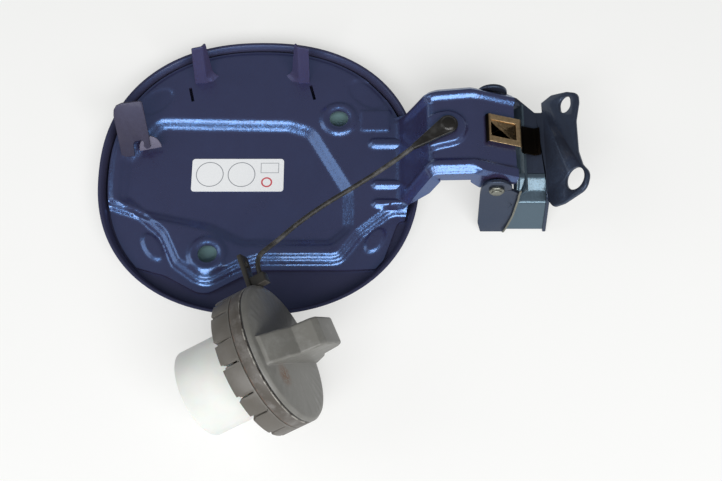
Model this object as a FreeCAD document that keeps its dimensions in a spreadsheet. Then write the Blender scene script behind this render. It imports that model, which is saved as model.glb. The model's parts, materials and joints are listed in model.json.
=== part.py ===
"""Fuel filler flap with its hinge, tether and screw cap, lying outer skin down with the cap beside it.

Millimetres. X runs from the latch to the hinge, Y away from the cap, Z up from the resting surface.
Sizes are set in the sheet below. The flap is drawn about its own centre, the cap about its own axis,
and at the end every piece is moved together so that the origin is under the middle of the whole part.
"""
import FreeCAD
import Part
import Sketcher
import math
import os

SIZES = [
    ("flap_width", 160.0, "flap over its rim, along X"),
    ("flap_depth", 152.0, "flap over its rim, along Y"),
    ("outline_power", 2.25, "squareness of the flap outline, 2 is an ellipse"),
    ("skin_sheet", 0.8, "outer skin sheet"),
    ("crown_radius", 1400.0, "outward crown of the skin"),
    ("rim_height", 9.0, "top of the turned rim"),
    ("rim_lean", 2.2, "how far the rim leans outwards"),
    ("rim_bend", 3.0, "bend between skin and rim"),
    ("panel_sheet", 0.9, "inner panel sheet"),
    ("rim_gap", 5.4, "gap from rim edge to inner panel"),
    ("flange_level", 4.0, "top of the panel flange that sits on the skin"),
    ("plateau_level", 8.2, "top of the raised field"),
    ("pan_level", 4.6, "top of the sunk field"),
    ("plateau_run", 3.4, "width of the plateau's sloping side"),
    ("pan_run", 4.6, "width of the pan's sloping side"),
    ("boss_height", 1.0, "raised ring round each hole"),
    ("boss_radius", 9.8, "foot of that ring"),
    ("boss_top_radius", 7.2, "top of that ring"),
    ("panel_hole_radius", 4.7, "holes in the inner panel"),
    ("mastic_radius", 5.0, "mastic pads between skin and panel"),
    ("post_length", 23.0, "cap holder posts along their lean"),
    ("post_web", 5.0, "post width facing the cap"),
    ("post_wing", 6.0, "post side wing at its foot"),
    ("post_lean", 22.0, "lean of the posts, degrees"),
    ("post_sheet", 1.2, "post sheet"),
    ("post_spacing", 49.0, "between the two posts"),
    ("latch_width", 15.0, "latch striker width"),
    ("latch_length", 28.0, "latch striker length"),
    ("latch_lug", 6.0, "lug beside the striker"),
    ("latch_lean", 34.0, "lean of the striker, degrees"),
    ("arm_width", 48.0, "gooseneck width"),
    ("arm_middle", 8.0, "middle of the gooseneck along Y"),
    ("arm_inset", 10.5, "foot of the gooseneck ramp inside the flap's edge"),
    ("arm_ramp", 13.0, "run of the ramp along X"),
    ("arm_top", 40.0, "top of the gooseneck"),
    ("arm_flat", 22.5, "flat top of the gooseneck along X"),
    ("arm_nose", 21.0, "sloping nose along X"),
    ("arm_nose_drop", 8.5, "drop of the nose"),
    ("arm_flange", 9.0, "depth of the gooseneck side flanges"),
    ("dart_height", 1.7, "stiffening darts at the gooseneck's root"),
    ("arm_edge", 2.6, "rounding of the gooseneck edges"),
    ("pin_setback", 10.6, "hinge pin behind the gooseneck's nose"),
    ("pin_level", 28.0, "hinge pin height"),
    ("pin_radius", 2.5, "hinge pin"),
    ("pin_head_radius", 3.7, "hinge pin head"),
    ("pin_head_length", 2.6, "hinge pin head"),
    ("pin_clearance", 0.06, "pin in the gooseneck"),
    ("lug_radius", 6.4, "gooseneck lug round the pin"),
    ("retainer_radius", 3.7, "push-on retainer"),
    ("retainer_length", 1.8, "push-on retainer"),
    ("bracket_sheet", 1.8, "hinge bracket sheet"),
    ("ear_gap", 1.2, "between gooseneck and bracket ears"),
    ("ear_radius", 7.4, "bracket ear round the pin"),
    ("bracket_floor", 22.0, "top of the bracket floor"),
    ("bracket_reach", 26.5, "from pin to the flange root along X"),
    ("floor_gap", 14.6, "from pin to the floor's free edge along X"),
    ("wall_flare", 9.5, "near wall leans out from the floor down to its foot"),
    ("far_wall_step", 8.5, "far wall steps in behind the gooseneck's nose"),
    ("bracket_bend", 7.0, "bend between floor and near wall"),
    ("bolt_flange_length", 26.0, "bolt flange up its slope"),
    ("bolt_flange_tilt", 50.0, "bolt flange slope, degrees"),
    ("bolt_hole_radius", 5.6, "round bolt hole"),
    ("bolt_slot_radius", 3.6, "oblong bolt hole"),
    ("bolt_slot_travel", 1.5, "oblong bolt hole, between centres"),
    ("spring_sheet", 0.6, "leaf spring"),
    ("spring_width", 15.0, "leaf spring"),
    ("spring_leg", 4.4, "each leg beside the window"),
    ("spring_middle", 9.5, "middle of the leaf spring along Y"),
    ("spring_gap", 0.3, "leaf spring over the gooseneck"),
    ("label_length", 46.0, "label"),
    ("label_width", 18.2, "label"),
    ("label_sheet", 0.2, "label"),
    ("label_corner", 1.6, "label corners"),
    ("anchor_radius", 4.6, "tether anchor pad round its plug"),
    ("anchor_sheet", 2.4, "tether anchor pad"),
    ("anchor_length", 21.1, "tether anchor from its plug to the cord"),
    ("anchor_stem", 3.0, "tether anchor plug"),
    ("anchor_barb", 4.0, "tether anchor barb"),
    ("anchor_along", 9.7, "tether anchor past the gooseneck's shoulder"),
    ("anchor_across", 0.4, "tether anchor past the gooseneck's middle line"),
    ("anchor_rise", 1.0, "raised pad under the tether anchor"),
    ("anchor_pad_radius", 8.6, "raised pad under the tether anchor"),
    ("anchor_clearance", 0.15, "tether plug in its hole"),
    ("cord_diameter", 2.3, "tether cord"),
    ("stem_radius", 20.5, "cap stem"),
    ("stem_length", 28.0, "cap stem past the skirt"),
    ("stem_wall", 2.2, "cap stem wall"),
    ("cap_radius", 33.0, "cap skirt and disc"),
    ("skirt_length", 9.0, "cap skirt along the axis"),
    ("skirt_wall", 2.2, "cap skirt wall"),
    ("cover_wall", 2.6, "cap cover wall"),
    ("ring_width", 5.4, "tether ring along the axis"),
    ("ring_sheet", 1.8, "tether ring"),
    ("ring_clearance", 0.25, "tether ring in its groove"),
    ("disc_edge", 3.4, "rounded edge of the cap disc"),
    ("disc_crown", 1.4, "crown of the cap disc"),
    ("grip_height", 21.5, "grip bar over the disc"),
    ("grip_width", 13.2, "grip bar"),
    ("grip_crest", 12.0, "half length of the grip crest"),
    ("grip_shoulder", 8.0, "height of the grip's end shoulder"),
    ("grip_edge", 1.3, "rounding of the grip"),
    ("slot_width", 0.7, "slots between skirt fingers"),
    ("notch_width", 2.2, "notch at each slot's end"),
    ("notch_depth", 1.5, "notch at each slot's end"),
    ("fit_gap", 0.3, "loose fit between cap pieces"),
    ("flange_sheet", 2.8, "cap stem flange"),
    ("seal_sheet", 2.4, "cap seal"),
    ("seal_width", 5.0, "cap seal, radial"),
    ("crown_height", 6.0, "toothed crown on the stem flange"),
    ("crown_outer", 20.0, "toothed crown"),
    ("tooth_height", 1.4, "teeth of the crown"),
    ("pawl_gap", 0.3, "pawl tips past the teeth"),
    ("ratchet_wall", 2.6, "ratchet ring wall"),
    ("vent_radius", 4.6, "vent hole in the stem flange"),
    ("valve_radius", 7.6, "vent valve plate"),
    ("valve_sheet", 1.6, "vent valve plate"),
    ("valve_seal_sheet", 1.2, "vent valve seal"),
    ("valve_travel", 3.0, "vent valve opening"),
    ("spring_wire", 0.9, "vent spring wire"),
    ("spring_coil_radius", 5.4, "vent spring, middle of the wire"),
    ("spring_turns", 6.5, "vent spring"),
    ("closure_depth", 2.6, "stem closure below the stem's end"),
    ("closure_sheet", 2.4, "stem closure"),
    ("guide_radius", 3.6, "spring guide on the closure"),
    ("guide_length", 7.0, "spring guide on the closure"),
    ("cap_heading", 19.3, "way the cap points, degrees from X"),
    ("cap_turn", 11.0, "grip bar about the cap axis, degrees"),
    ("lug_heading", 90.0, "tether lug about the cap axis, degrees"),
    ("lug_length", 18.0, "tether lug"),
    ("lug_width", 7.0, "tether lug"),
    ("lug_sheet", 2.2, "tether lug"),
    ("cord_boss", 5.0, "block that holds the cord's end"),
    ("cap_along", -21.7, "stem end along X from the flap's middle"),
    ("cap_across", -117.0, "stem end along Y from the flap's middle"),
]

# Corners as x, y, corner radius, and spots as x, y, from the middle of a flap of the drawn width and depth.
DRAWN_WIDTH = 160.0
DRAWN_DEPTH = 152.0
PLATEAU = [
    (-95.0, -19.0, 4.0), (-73.0, -19.0, 4.0), (-58.0, -24.5, 8.0), (-48.0, -34.0, 8.0), (-41.0, -49.0, 6.0),
    (-25.0, -61.0, 11.0), (-9.0, -52.0, 8.0), (2.0, -48.2, 8.0), (41.0, -48.2, 9.0), (51.5, -34.0, 7.0),
    (66.0, -22.0, 7.0), (95.0, -22.5, 4.0), (95.0, 95.0, 4.0), (-95.0, 95.0, 4.0),
]
FLANGE_EDGE = [
    (-95.0, -21.5, 4.0), (-73.0, -21.5, 3.0), (-66.0, -47.0, 5.0), (-44.0, -53.5, 5.0), (-25.0, -64.0, 11.0),
    (-8.0, -54.5, 8.0), (2.0, -50.6, 8.0), (42.0, -50.6, 8.0), (60.0, -50.0, 6.0), (69.0, -24.5, 4.0),
    (95.0, -25.0, 4.0), (95.0, 95.0, 4.0), (-95.0, 95.0, 4.0),
]
PAN = [
    (47.0, -31.0, 9.0), (47.0, -9.0, 12.0), (27.0, 26.0, 12.0), (15.0, 30.0, 8.0), (-52.0, 31.5, 8.0),
    (-69.5, 9.0, 9.0), (-70.0, -14.0, 7.0), (-58.0, -24.0, 8.0), (-24.0, -31.5, 12.0), (-8.0, -40.0, 12.0),
    (37.0, -40.0, 10.0),
]
UPPER_HOLE = (39.5, 30.6)
LOWER_HOLE = (-23.6, -44.1)
POSTS_MIDDLE = (-5.2, 51.5)
LATCH_FOOT = (-62.0, 11.5)
DARTS = [(57.5, 16.5, 3.4), (58.5, -6.5, 2.6), (58.5, -17.0, 2.6)]
MASTIC_SPOTS = [(-45.0, 43.0), (48.0, 47.0), (-52.0, -41.0), (55.0, -36.0)]
LABEL_MIDDLE = (-11.0, 0.5)
SKIRT_FINGERS = 16
NARROW_FINGER = 19.0
CROWN_TEETH = 12
PAWLS = 3

# The tether's route from the anchor's tip to the block on the cap's tether ring, chosen by eye.
CORD_ROUTE = [
    (66.7, -10.1, 40.4), (52.6, -19.2, 37.9), (33.9, -30.3, 35.5), (21.1, -39.6, 34.0), (12.7, -47.8, 34.0),
    (8.4, -52.2, 35.3), (4.2, -56.6, 36.8),
]

V = FreeCAD.Vector
doc = FreeCAD.newDocument("FuelFlap")
sheet = doc.addObject("Spreadsheet::Sheet", "Sizes")
for row, (alias, value, note) in enumerate(SIZES, start=1):
    sheet.set(f"A{row}", note)
    sheet.set(f"B{row}", str(value))
    sheet.setAlias(f"B{row}", alias)
doc.recompute()
pieces = []


def size(alias):
    """A driving size from the sheet."""
    return float(sheet.get(alias))


def number(formula):
    """A formula of the sheet's sizes as a number."""
    return float(sheet.evalExpression(formula))


def keep(piece, label, on_cord=False):
    """Name a finished sub-part and note whether it belongs to the free cord."""
    piece.Label = label
    pieces.append((piece, on_cord))
    return piece


def feature(label, shape, on_cord=False):
    """A sub-part whose shape is worked out here."""
    piece = doc.addObject("Part::Feature", label)
    piece.Shape = shape
    return keep(piece, label, on_cord)


def spread(x, y):
    """A spot drawn on the flap, at the flap's real width and depth."""
    return x * size("flap_width") / DRAWN_WIDTH, y * size("flap_depth") / DRAWN_DEPTH


def drawn(corners):
    """An outline drawn on the flap, at the flap's real width and depth."""
    return [(*spread(x, y), radius) for x, y, radius in corners]


def rounded_wire(corners, level, inset=0.0):
    """Closed wire through x, y, radius corners, all moved inwards by inset, at one level."""
    count = len(corners)
    points = [V(x, y, 0) for x, y, _ in corners]
    area = sum(p.x * q.y - q.x * p.y for p, q in zip(points, points[1:] + points[:1]))
    turn = 1.0 if area > 0 else -1.0
    along = [(points[(i + 1) % count] - points[i]).normalize() for i in range(count)]
    inward = [V(-d.y * turn, d.x * turn, 0) for d in along]
    moved = []
    for i in range(count):
        before, after = along[i - 1], along[i]
        start = points[i] + inward[i - 1] * inset
        other = points[i] + inward[i] * inset
        cross = before.x * after.y - before.y * after.x
        step = ((other.x - start.x) * after.y - (other.y - start.y) * after.x) / cross
        moved.append(start + before * step)
    ends = []
    for i in range(count):
        before, after = along[i - 1], along[i]
        cross = (before.x * after.y - before.y * after.x) * turn
        radius = corners[i][2] - inset if cross > 0 else corners[i][2] + inset
        radius = max(radius, 0.4)
        angle = before.getAngle(after)
        reach = radius * math.tan(angle / 2)
        bisector = (after - before).normalize()
        middle = moved[i] + bisector * (radius / math.cos(angle / 2) - radius)
        ends.append((moved[i] - before * reach, middle, moved[i] + after * reach))
    edges = []
    for i in range(count):
        first, middle, last = ends[i]
        edges.append(Part.Arc(first, middle, last).toShape())
        edges.append(Part.LineSegment(last, ends[(i + 1) % count][0]).toShape())
    wire = Part.Wire(edges)
    wire.translate(V(0, 0, level))
    return wire


def prism(wire, direction):
    """A solid from a flat closed wire."""
    return Part.Face(wire).extrude(direction)


def outline_wire(inset, level):
    """The flap's outline, drawn in by inset."""
    half_x = size("flap_width") / 2 - inset
    half_y = size("flap_depth") / 2 - inset
    power = 2.0 / size("outline_power")
    points = []
    for step in range(40):
        angle = 2 * math.pi * step / 40
        across, away = math.cos(angle), math.sin(angle)
        x = math.copysign(abs(across) ** power, across) * half_x
        y = math.copysign(abs(away) ** power, away) * half_y
        points.append(V(x, y, level))
    curve = Part.BSplineCurve()
    curve.interpolate(points, PeriodicFlag=True)
    return Part.Wire(curve.toShape())


def origin_plane(body, role):
    """One of a body's own base planes."""
    return next(item for item in body.Origin.OriginFeatures if item.Role == role)


def polygon_sketch(body, name, corners):
    """A closed outline on the body's XZ plane, each corner tied to a formula of the sheet's sizes."""
    sketch = body.newObject("Sketcher::SketchObject", name)
    sketch.AttachmentSupport = (origin_plane(body, "XZ_Plane"), [""])
    sketch.MapMode = "FlatFace"
    points = [V(number(across), number(up), 0) for across, up in corners]
    for first, second in zip(points, points[1:] + points[:1]):
        sketch.addGeometry(Part.LineSegment(first, second), False)
    for i in range(len(points)):
        sketch.addConstraint(Sketcher.Constraint("Coincident", i, 2, (i + 1) % len(points), 1))
    for i, (across, up) in enumerate(corners):
        for kind, axis, formula in (("DistanceX", -2, across), ("DistanceY", -1, up)):
            if formula == "0":
                sketch.addConstraint(Sketcher.Constraint("PointOnObject", i, 1, axis))
                continue
            rule = sketch.addConstraint(Sketcher.Constraint(kind, -1, 1, i, 1, number(formula)))
            sketch.setExpression(f"Constraints[{rule}]", formula)
    return sketch


def turned_body(name, corners):
    """A body turned about its Z axis from radius, height corners."""
    body = doc.addObject("PartDesign::Body", name)
    sketch = polygon_sketch(body, name + "_section", corners)
    turn = body.newObject("PartDesign::Revolution", name + "_turn")
    turn.Profile = sketch
    turn.ReferenceAxis = (sketch, ["V_Axis"])
    turn.Angle = 360
    sketch.Visibility = False
    return body


def parallel(points, distance):
    """A line of x, z points moved to the right of its travel."""
    ways = [(V(*q) - V(*p)).normalize() for p, q in zip(points, points[1:])]
    rights = [V(way.y, -way.x, 0) for way in ways]
    moved = []
    for i, point in enumerate(points):
        first = rights[max(i - 1, 0)]
        second = rights[min(i, len(rights) - 1)]
        step = (first + second) * (distance / (1 + first.dot(second)))
        moved.append((point[0] + step.x, point[1] + step.y))
    return moved


def line_edges(points, radii):
    """Edges along x, z points in the plane Y = 0, each inner corner rounded by its radius."""
    spots = [V(x, 0, z) for x, z in points]
    edges = []
    last = spots[0]
    for before, spot, after, radius in zip(spots, spots[1:], spots[2:], radii):
        into = (spot - before).normalize()
        out = (after - spot).normalize()
        angle = into.getAngle(out)
        reach = radius * math.tan(angle / 2)
        middle = spot + (out - into).normalize() * (radius / math.cos(angle / 2) - radius)
        edges.append(Part.LineSegment(last, spot - into * reach).toShape())
        edges.append(Part.Arc(spot - into * reach, middle, spot + out * reach).toShape())
        last = spot + out * reach
    edges.append(Part.LineSegment(last, spots[-1]).toShape())
    return edges


def parallel_radii(points, radii, distance):
    """The corner radii of a line moved to the right of its travel."""
    moved = []
    for first, second, third, radius in zip(points, points[1:], points[2:], radii):
        into = (second[0] - first[0], second[1] - first[1])
        out = (third[0] - second[0], third[1] - second[1])
        cross = into[0] * out[1] - into[1] * out[0]
        moved.append(radius + distance if cross > 0 else radius - distance)
    return moved


def sheet_wire(points, radii, thickness):
    """The closed section of a sheet bent along x, z points, its thickness to the right of its travel."""
    other = parallel(points, thickness)
    edges = line_edges(points, radii)
    back = line_edges(other, parallel_radii(points, radii, thickness))
    joins = [Part.LineSegment(V(points[i][0], 0, points[i][1]), V(other[i][0], 0, other[i][1])).toShape()
             for i in (0, -1)]
    return Part.Wire(Part.sortEdges(edges + back + joins)[0])


def outer_skin():
    """The painted outer skin: a crowned tray with a doubled rim that leans outwards."""
    wall = size("skin_sheet")
    lean, bend, top = size("rim_lean"), size("rim_bend"), size("rim_height")
    steps = [(lean + bend, 0.0), (lean + bend / 3, bend / 2), (lean, bend + wall), (0.0, top)]
    outside = Part.makeLoft([outline_wire(inset, level) for inset, level in steps], True)
    inner = [(inset + wall * (1 if level < bend else 2), level) for inset, level in steps]
    inner.append((2 * wall - lean / 2, top + bend))
    inside = Part.makeLoft([outline_wire(inset, level) for inset, level in inner], True)
    radius = size("crown_radius")
    ball = Part.makeSphere(radius, V(0, 0, radius), V(0, 0, -1), 0, 90, 360)
    hollow = Part.makeSphere(radius - wall, V(0, 0, radius), V(0, 0, -1), 0, 90, 360)
    feature("outer_skin", outside.common(ball).cut(inside.common(hollow)))


def pressed_form(offset):
    """The pressed field of the inner panel as a solid, drawn in and down by offset."""
    low = size("flange_level") - offset
    high = size("plateau_level") - offset
    sunk = size("pan_level") - offset
    base = V(0, 0, -30)
    gap = size("rim_gap")
    form = prism(rounded_wire(drawn(FLANGE_EDGE), low, -offset), base)
    form = form.common(prism(outline_wire(gap - 0.6 - offset, low), base))
    run = size("plateau_run")
    field = Part.makeLoft([rounded_wire(drawn(PLATEAU), low, offset),
                           rounded_wire(drawn(PLATEAU), high, run + offset)],
                          True, True)
    edge = [outline_wire(gap + offset, low), outline_wire(gap + offset + 1.0, high)]
    form = form.fuse(field.common(Part.makeLoft(edge, True, True)))
    for x, y in (spread(*UPPER_HOLE), spread(*LOWER_HOLE)):
        ring = Part.makeCone(size("boss_radius") - offset, size("boss_top_radius") - offset,
                             size("boss_height"), V(x, y, high))
        form = form.fuse(ring)
    run = size("pan_run")
    pan = Part.makeLoft([rounded_wire(drawn(PAN), sunk, run - offset),
                         rounded_wire(drawn(PAN), high, -offset)], True, True)
    above = prism(rounded_wire(drawn(PAN), high, -offset), V(0, 0, 10))
    return form.cut(pan.fuse(above))


def post(side):
    """One cap holder post: a leaning strip folded along its length, its wing towards the other post."""
    sheet_size = size("post_sheet")
    web, wing = size("post_web"), size("post_wing")
    section = [(0, 0), (-web, 0), (-web, sheet_size), (0, sheet_size), (wing * 0.7, wing * 0.7),
               (wing * 0.7 + sheet_size * 0.7, wing * 0.7 - sheet_size * 0.7)]
    wire = Part.makePolygon([V(x * side, y, 0) for x, y in section + section[:1]])
    lean = math.radians(size("post_lean"))
    reach = size("post_length")
    strip = prism(wire, V(0, math.sin(lean), math.cos(lean)) * reach)
    foot = size("plateau_level") - size("panel_sheet")
    x, y = spread(*POSTS_MIDDLE)
    strip.translate(V(x - side * size("post_spacing") / 2, y, foot))
    return strip


def latch():
    """The striker: a leaning plate with a rounded corner, a hook slot and a lug beside it."""
    width, reach = size("latch_width"), size("latch_length")
    thickness = size("post_sheet")
    plate = prism(rounded_wire([(-width / 2, 0, 0.5), (width / 2, 0, 0.5), (width / 2, reach, 1.0),
                                (-width / 2, reach, 4.0)], 0), V(0, 0, thickness))
    slot = Part.makeBox(width * 0.55, reach * 0.2, 3 * thickness, V(width * 0.05, reach * 0.2, -thickness))
    plate = plate.cut(slot)
    plate.rotate(V(0, 0, 0), V(1, 0, 0), 90 - size("latch_lean"))
    plate.rotate(V(0, 0, 0), V(0, 0, 1), 8)
    foot = size("plateau_level") - size("panel_sheet")
    lug_middle = V(width / 2 - 0.5, 2.5, -1.0)
    lug = Part.makeCylinder(size("latch_lug"), thickness, lug_middle, V(0.2, -1, 0.1), 360)
    lug = lug.common(Part.makeBox(width, width, width, V(0, -width / 2, 0)))
    plate = plate.fuse(lug)
    plate.translate(V(*spread(*LATCH_FOOT), foot))
    return plate


def arm_points():
    """The gooseneck's upper line as x, z points from its tail on the panel to its nose."""
    foot = size("flap_width") / 2 - size("arm_inset")
    shoulder = foot + size("arm_ramp")
    crease = shoulder + size("arm_flat")
    nose = crease + size("arm_nose")
    top = size("arm_top")
    return [(foot - 8, size("plateau_level")), (foot, size("plateau_level")), (shoulder, top), (crease, top),
            (nose, top - size("arm_nose_drop"))]


def pin_along():
    """Where the hinge pin is along X."""
    return arm_points()[-1][0] - size("pin_setback")


def anchor_middle():
    """Where the tether's plug goes through the gooseneck."""
    return arm_points()[2][0] + size("anchor_along"), size("arm_middle") + size("anchor_across")


def under_line(points, radii, half, rounding):
    """A solid from a line of x, z points down past the table, its long upper edges rounded."""
    first, last = points[0], points[-1]
    spots = [V(last[0], 0, last[1]), V(last[0], 0, -20), V(first[0], 0, -20), V(first[0], 0, first[1])]
    sides = [Part.LineSegment(one, two).toShape() for one, two in zip(spots, spots[1:])]
    upper = line_edges(points, radii)
    solid = prism(Part.Wire(Part.sortEdges(upper + sides)[0]), V(0, 2 * half, 0))
    solid.translate(V(0, size("arm_middle") - half, 0))
    chosen = []
    for edge in solid.Edges:
        if edge.BoundBox.YLength > 0.01 or edge.BoundBox.ZMin < -10:
            continue
        chosen.append(edge)
    return solid.makeFillet(rounding, chosen)


def arm():
    """The gooseneck: a bent sheet with side flanges, a pad for the tether and lugs for the pin."""
    wall = size("panel_sheet")
    line = arm_points()
    radii = [6.0, 9.0, 12.0]
    depth = size("arm_flange")
    top = size("arm_top")
    pin_x, pin_z, lug = pin_along(), size("pin_level"), size("lug_radius")
    tail, foot, shoulder, crease, nose = line
    clear = size("rim_height") + 1.5
    half = size("arm_width") / 2
    under = [(nose[0], nose[1] - depth * 0.4), (pin_x + lug, pin_z - lug * 0.4),
             (pin_x + lug * 0.6, pin_z - lug), (pin_x - lug * 0.6, pin_z - lug),
             (crease[0], top - depth), (shoulder[0] + 7, top - depth - 1),
             (foot[0] + 11.3, clear), (foot[0] + 2.1, clear), (foot[0] + 0.8, foot[1] - wall),
             (tail[0], tail[1] - wall)]
    above = [(tail[0], top + 20), (nose[0], top + 20)]
    window = Part.makePolygon([V(x, size("arm_middle") - half, z) for x, z in under + above + under[:1]])
    window = prism(window, V(0, 2 * half, 0))
    longer = line[:-1] + [(nose[0] + 24, nose[1] - 24 * size("arm_nose_drop") / size("arm_nose"))]
    longer = [(tail[0] - 5, tail[1])] + longer[1:]
    outside = under_line(line, radii, half, size("arm_edge"))
    inside = under_line(parallel(longer, wall), parallel_radii(longer, radii, wall), half - wall,
                        size("arm_edge") - wall)
    shape = outside.cut(inside).common(window)
    x, y = anchor_middle()
    pad = size("anchor_pad_radius")
    raised = Part.makeCylinder(pad, size("anchor_rise"), V(x, y, top))
    back = Part.makeBox(pad - 1.0, 2 * pad, size("anchor_rise"), V(x - pad + 1.0, y - pad, top))
    raised = raised.fuse(back)
    return shape.fuse(raised)


def dart(x, y, radius):
    """A stiffening dart pressed up at the gooseneck's root, from its rounded tip at x to the ramp."""
    level = size("plateau_level")
    middle = V(x, y, level + size("dart_height") - radius)
    reach = arm_points()[1][0] + 1.0 - x
    ridge = Part.makeCylinder(radius, reach, middle, V(1, 0, 0)).fuse(Part.makeSphere(radius, middle))
    under = level - size("panel_sheet")
    above = Part.makeBox(reach + radius, 2 * radius, 2 * radius, V(x - radius, y - radius, under))
    return ridge.common(above)


def inner_panel():
    """The inner panel, pressed from one sheet with the posts, the striker and the gooseneck arm."""
    wall = size("panel_sheet")
    panel = pressed_form(0).cut(pressed_form(wall))
    for x, y in (spread(*UPPER_HOLE), spread(*LOWER_HOLE)):
        panel = panel.cut(Part.makeCylinder(size("panel_hole_radius"), 30, V(x, y, -5)))
    pin_bore = Part.makeCylinder(size("pin_radius") + size("pin_clearance"), 2 * size("arm_width"),
                                 V(pin_along(), -size("arm_width"), size("pin_level")), V(0, 1, 0))
    x, y = anchor_middle()
    plug_hole = Part.makeCylinder(size("anchor_stem") + size("anchor_clearance"), 20,
                                  V(x, y, size("arm_top") - 10))
    _, hook = spring_line()
    slot_width = 4 * size("spring_sheet")
    slot = Part.makeBox(slot_width, size("spring_width") + 1.0, 20,
                        V(hook - slot_width / 2, size("spring_middle") - size("spring_width") / 2 - 0.5, 30))
    neck = arm().cut(pin_bore).cut(plug_hole).cut(slot)
    ridges = [dart(*spread(x, y), radius) for x, y, radius in DARTS]
    feature("inner_panel", panel.fuse([neck, post(1), post(-1), latch()] + ridges).removeSplitter())


def mastic_pads():
    """Four mastic pads that bond the panel's flange to the skin."""
    radius = size("crown_radius")
    bed = Part.makeSphere(radius - size("skin_sheet"), V(0, 0, radius), V(0, 0, -1), 0, 90, 360)
    pads = []
    for x, y in (spread(*spot) for spot in MASTIC_SPOTS):
        roof = size("plateau_level") if y > 0 else size("flange_level")
        pad = Part.makeCylinder(size("mastic_radius"), roof - size("panel_sheet") - 0.05, V(x, y, 0))
        pads.append(pad.common(bed))
    feature("mastic_pads", Part.makeCompound(pads))


def hinge_bracket():
    """The body side bracket: two ears on the pin, a floor between its walls and a sloping bolt flange."""
    wall = size("bracket_sheet")
    pin_x, pin_z = pin_along(), size("pin_level")
    floor = size("bracket_floor")
    inner = size("arm_width") / 2 + size("ear_gap")
    root = pin_x + size("bracket_reach")
    left = pin_x - size("ear_radius")
    edge = pin_x + size("floor_gap")
    near, far = size("arm_middle") - inner, size("arm_middle") + inner
    foot = near - wall - size("wall_flare")
    section = [(near, 60), (near, floor), (foot + wall, 0), (foot, 0), (near - wall, floor),
               (near - wall, 60)]
    section = Part.makePolygon([V(left, y, z) for y, z in section + section[:1]])
    near_wall = prism(section, V(edge - left, 0, 0))
    clear = arm_points()[-1][0] + 1.6
    step = size("far_wall_step")
    kink = wall * 0.4
    plan = [(left, far), (clear, far), (clear + step, far - step), (root, far - step),
            (root, far - step + wall), (clear + step + kink, far - step + wall), (clear + kink, far + wall),
            (left, far + wall)]
    far_wall = prism(Part.makePolygon([V(x, y, 0) for x, y in plan + plan[:1]]), V(0, 0, 60))
    slant = pin_x + size("ear_radius") * 0.7
    side = [(left + 1.5, 0), (root, 0), (root, floor), (edge - 2, floor), (slant, pin_z), (left, pin_z),
            (left, 5)]
    profile = prism(Part.makePolygon([V(x, -90, z) for x, z in side + side[:1]]), V(0, 180, 0))
    profile = profile.fuse(Part.makeCylinder(size("ear_radius"), 180, V(pin_x, -90, pin_z), V(0, 1, 0)))
    walls = far_wall.fuse(near_wall).common(profile)
    bent = [(foot, 0), (near - wall, floor), (far - step + wall, floor)]
    cover = prism(sheet_wire(bent, [size("bracket_bend")], wall), V(0, root - edge, 0))
    cover.rotate(V(0, 0, 0), V(0, 0, 1), 90)
    cover.translate(V(root, 0, 0))
    corner = [(edge, far - step), (clear + step, far - step), (edge, far - (edge - clear) + kink)]
    gusset = prism(Part.makePolygon([V(x, y, floor - wall) for x, y in corner + corner[:1]]), V(0, 0, wall))
    bore = Part.makeCylinder(size("pin_radius"), 200, V(pin_x, -100, pin_z), V(0, 1, 0))
    shell = walls.fuse([cover.common(profile), gusset, bolt_flange(root, foot + wall, far)])
    feature("hinge_bracket", shell.cut(bore).removeSplitter())


def bolt_flange(root, low, high):
    """The bolt flange: a sloping plate with two lobes, a round hole near and an oblong one far."""
    wall = size("bracket_sheet")
    reach = size("bolt_flange_length")
    outline = [(low + 5, -0.6, 0.4), (high - 1, -0.6, 0.4), (high + 0.5, reach * 0.24, 4.0),
               (high - 2, reach * 0.62, 5.0), (high - 5.5, reach * 0.86, 4.0),
               (high - 10.5, reach * 0.86, 5.0), (high - 19.5, reach * 0.76, 6.0),
               (low + 24, reach * 0.76, 8.0), (low + 16, reach * 0.84, 6.0), (low + 10, reach, 6.0),
               (low + 2.5, reach * 0.88, 6.0),
               (low, reach * 0.35, 5.0),
               (low + 0.5, reach * 0.1, 3.0)]
    plate = prism(rounded_wire(outline, 0), V(0, 0, wall))
    plate = plate.cut(Part.makeCylinder(size("bolt_hole_radius"), 20, V(low + 10.2, reach * 0.66, -10)))
    half = size("bolt_slot_travel") / 2
    radius = size("bolt_slot_radius")
    x, y = high - 8.3, reach * 0.55
    for middle in (x - half, x + half):
        plate = plate.cut(Part.makeCylinder(radius, 20, V(middle, y, -10)))
    plate = plate.cut(Part.makeBox(2 * half, 2 * radius, 20, V(x - half, y - radius, -10)))
    slope = math.radians(size("bolt_flange_tilt"))
    turn = FreeCAD.Matrix(0, math.cos(slope), math.sin(slope), root - wall * 0.67,
                          1, 0, 0, 0,
                          0, math.sin(slope), -math.cos(slope), size("bracket_floor"),
                          0, 0, 0, 1)
    plate.Placement = FreeCAD.Placement(turn)
    return plate


def spring_line():
    """The leaf spring's line in x, z: hook, run over the nose, turn round its end, rest on the floor."""
    tail, foot, shoulder, crease, nose = arm_points()
    slant = size("arm_nose_drop") / size("arm_nose")
    hook = crease[0] + 5.6
    lift = (size("spring_gap") + size("spring_sheet")) * 1.1
    over = size("arm_top") - (hook - crease[0]) * slant + lift
    end_x = nose[0] + 2.2
    end_z = nose[1] - (end_x - nose[0]) * slant + lift
    rest = size("bracket_floor") + size("spring_gap") + size("spring_sheet")
    stop = pin_along() + size("floor_gap") + 6.0
    return [(hook, over - 4.5), (hook, over), (end_x, end_z), (end_x + 1.2, rest + 2.6), (stop, rest),
            (stop + 2.2, rest + 1.6)], hook


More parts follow.
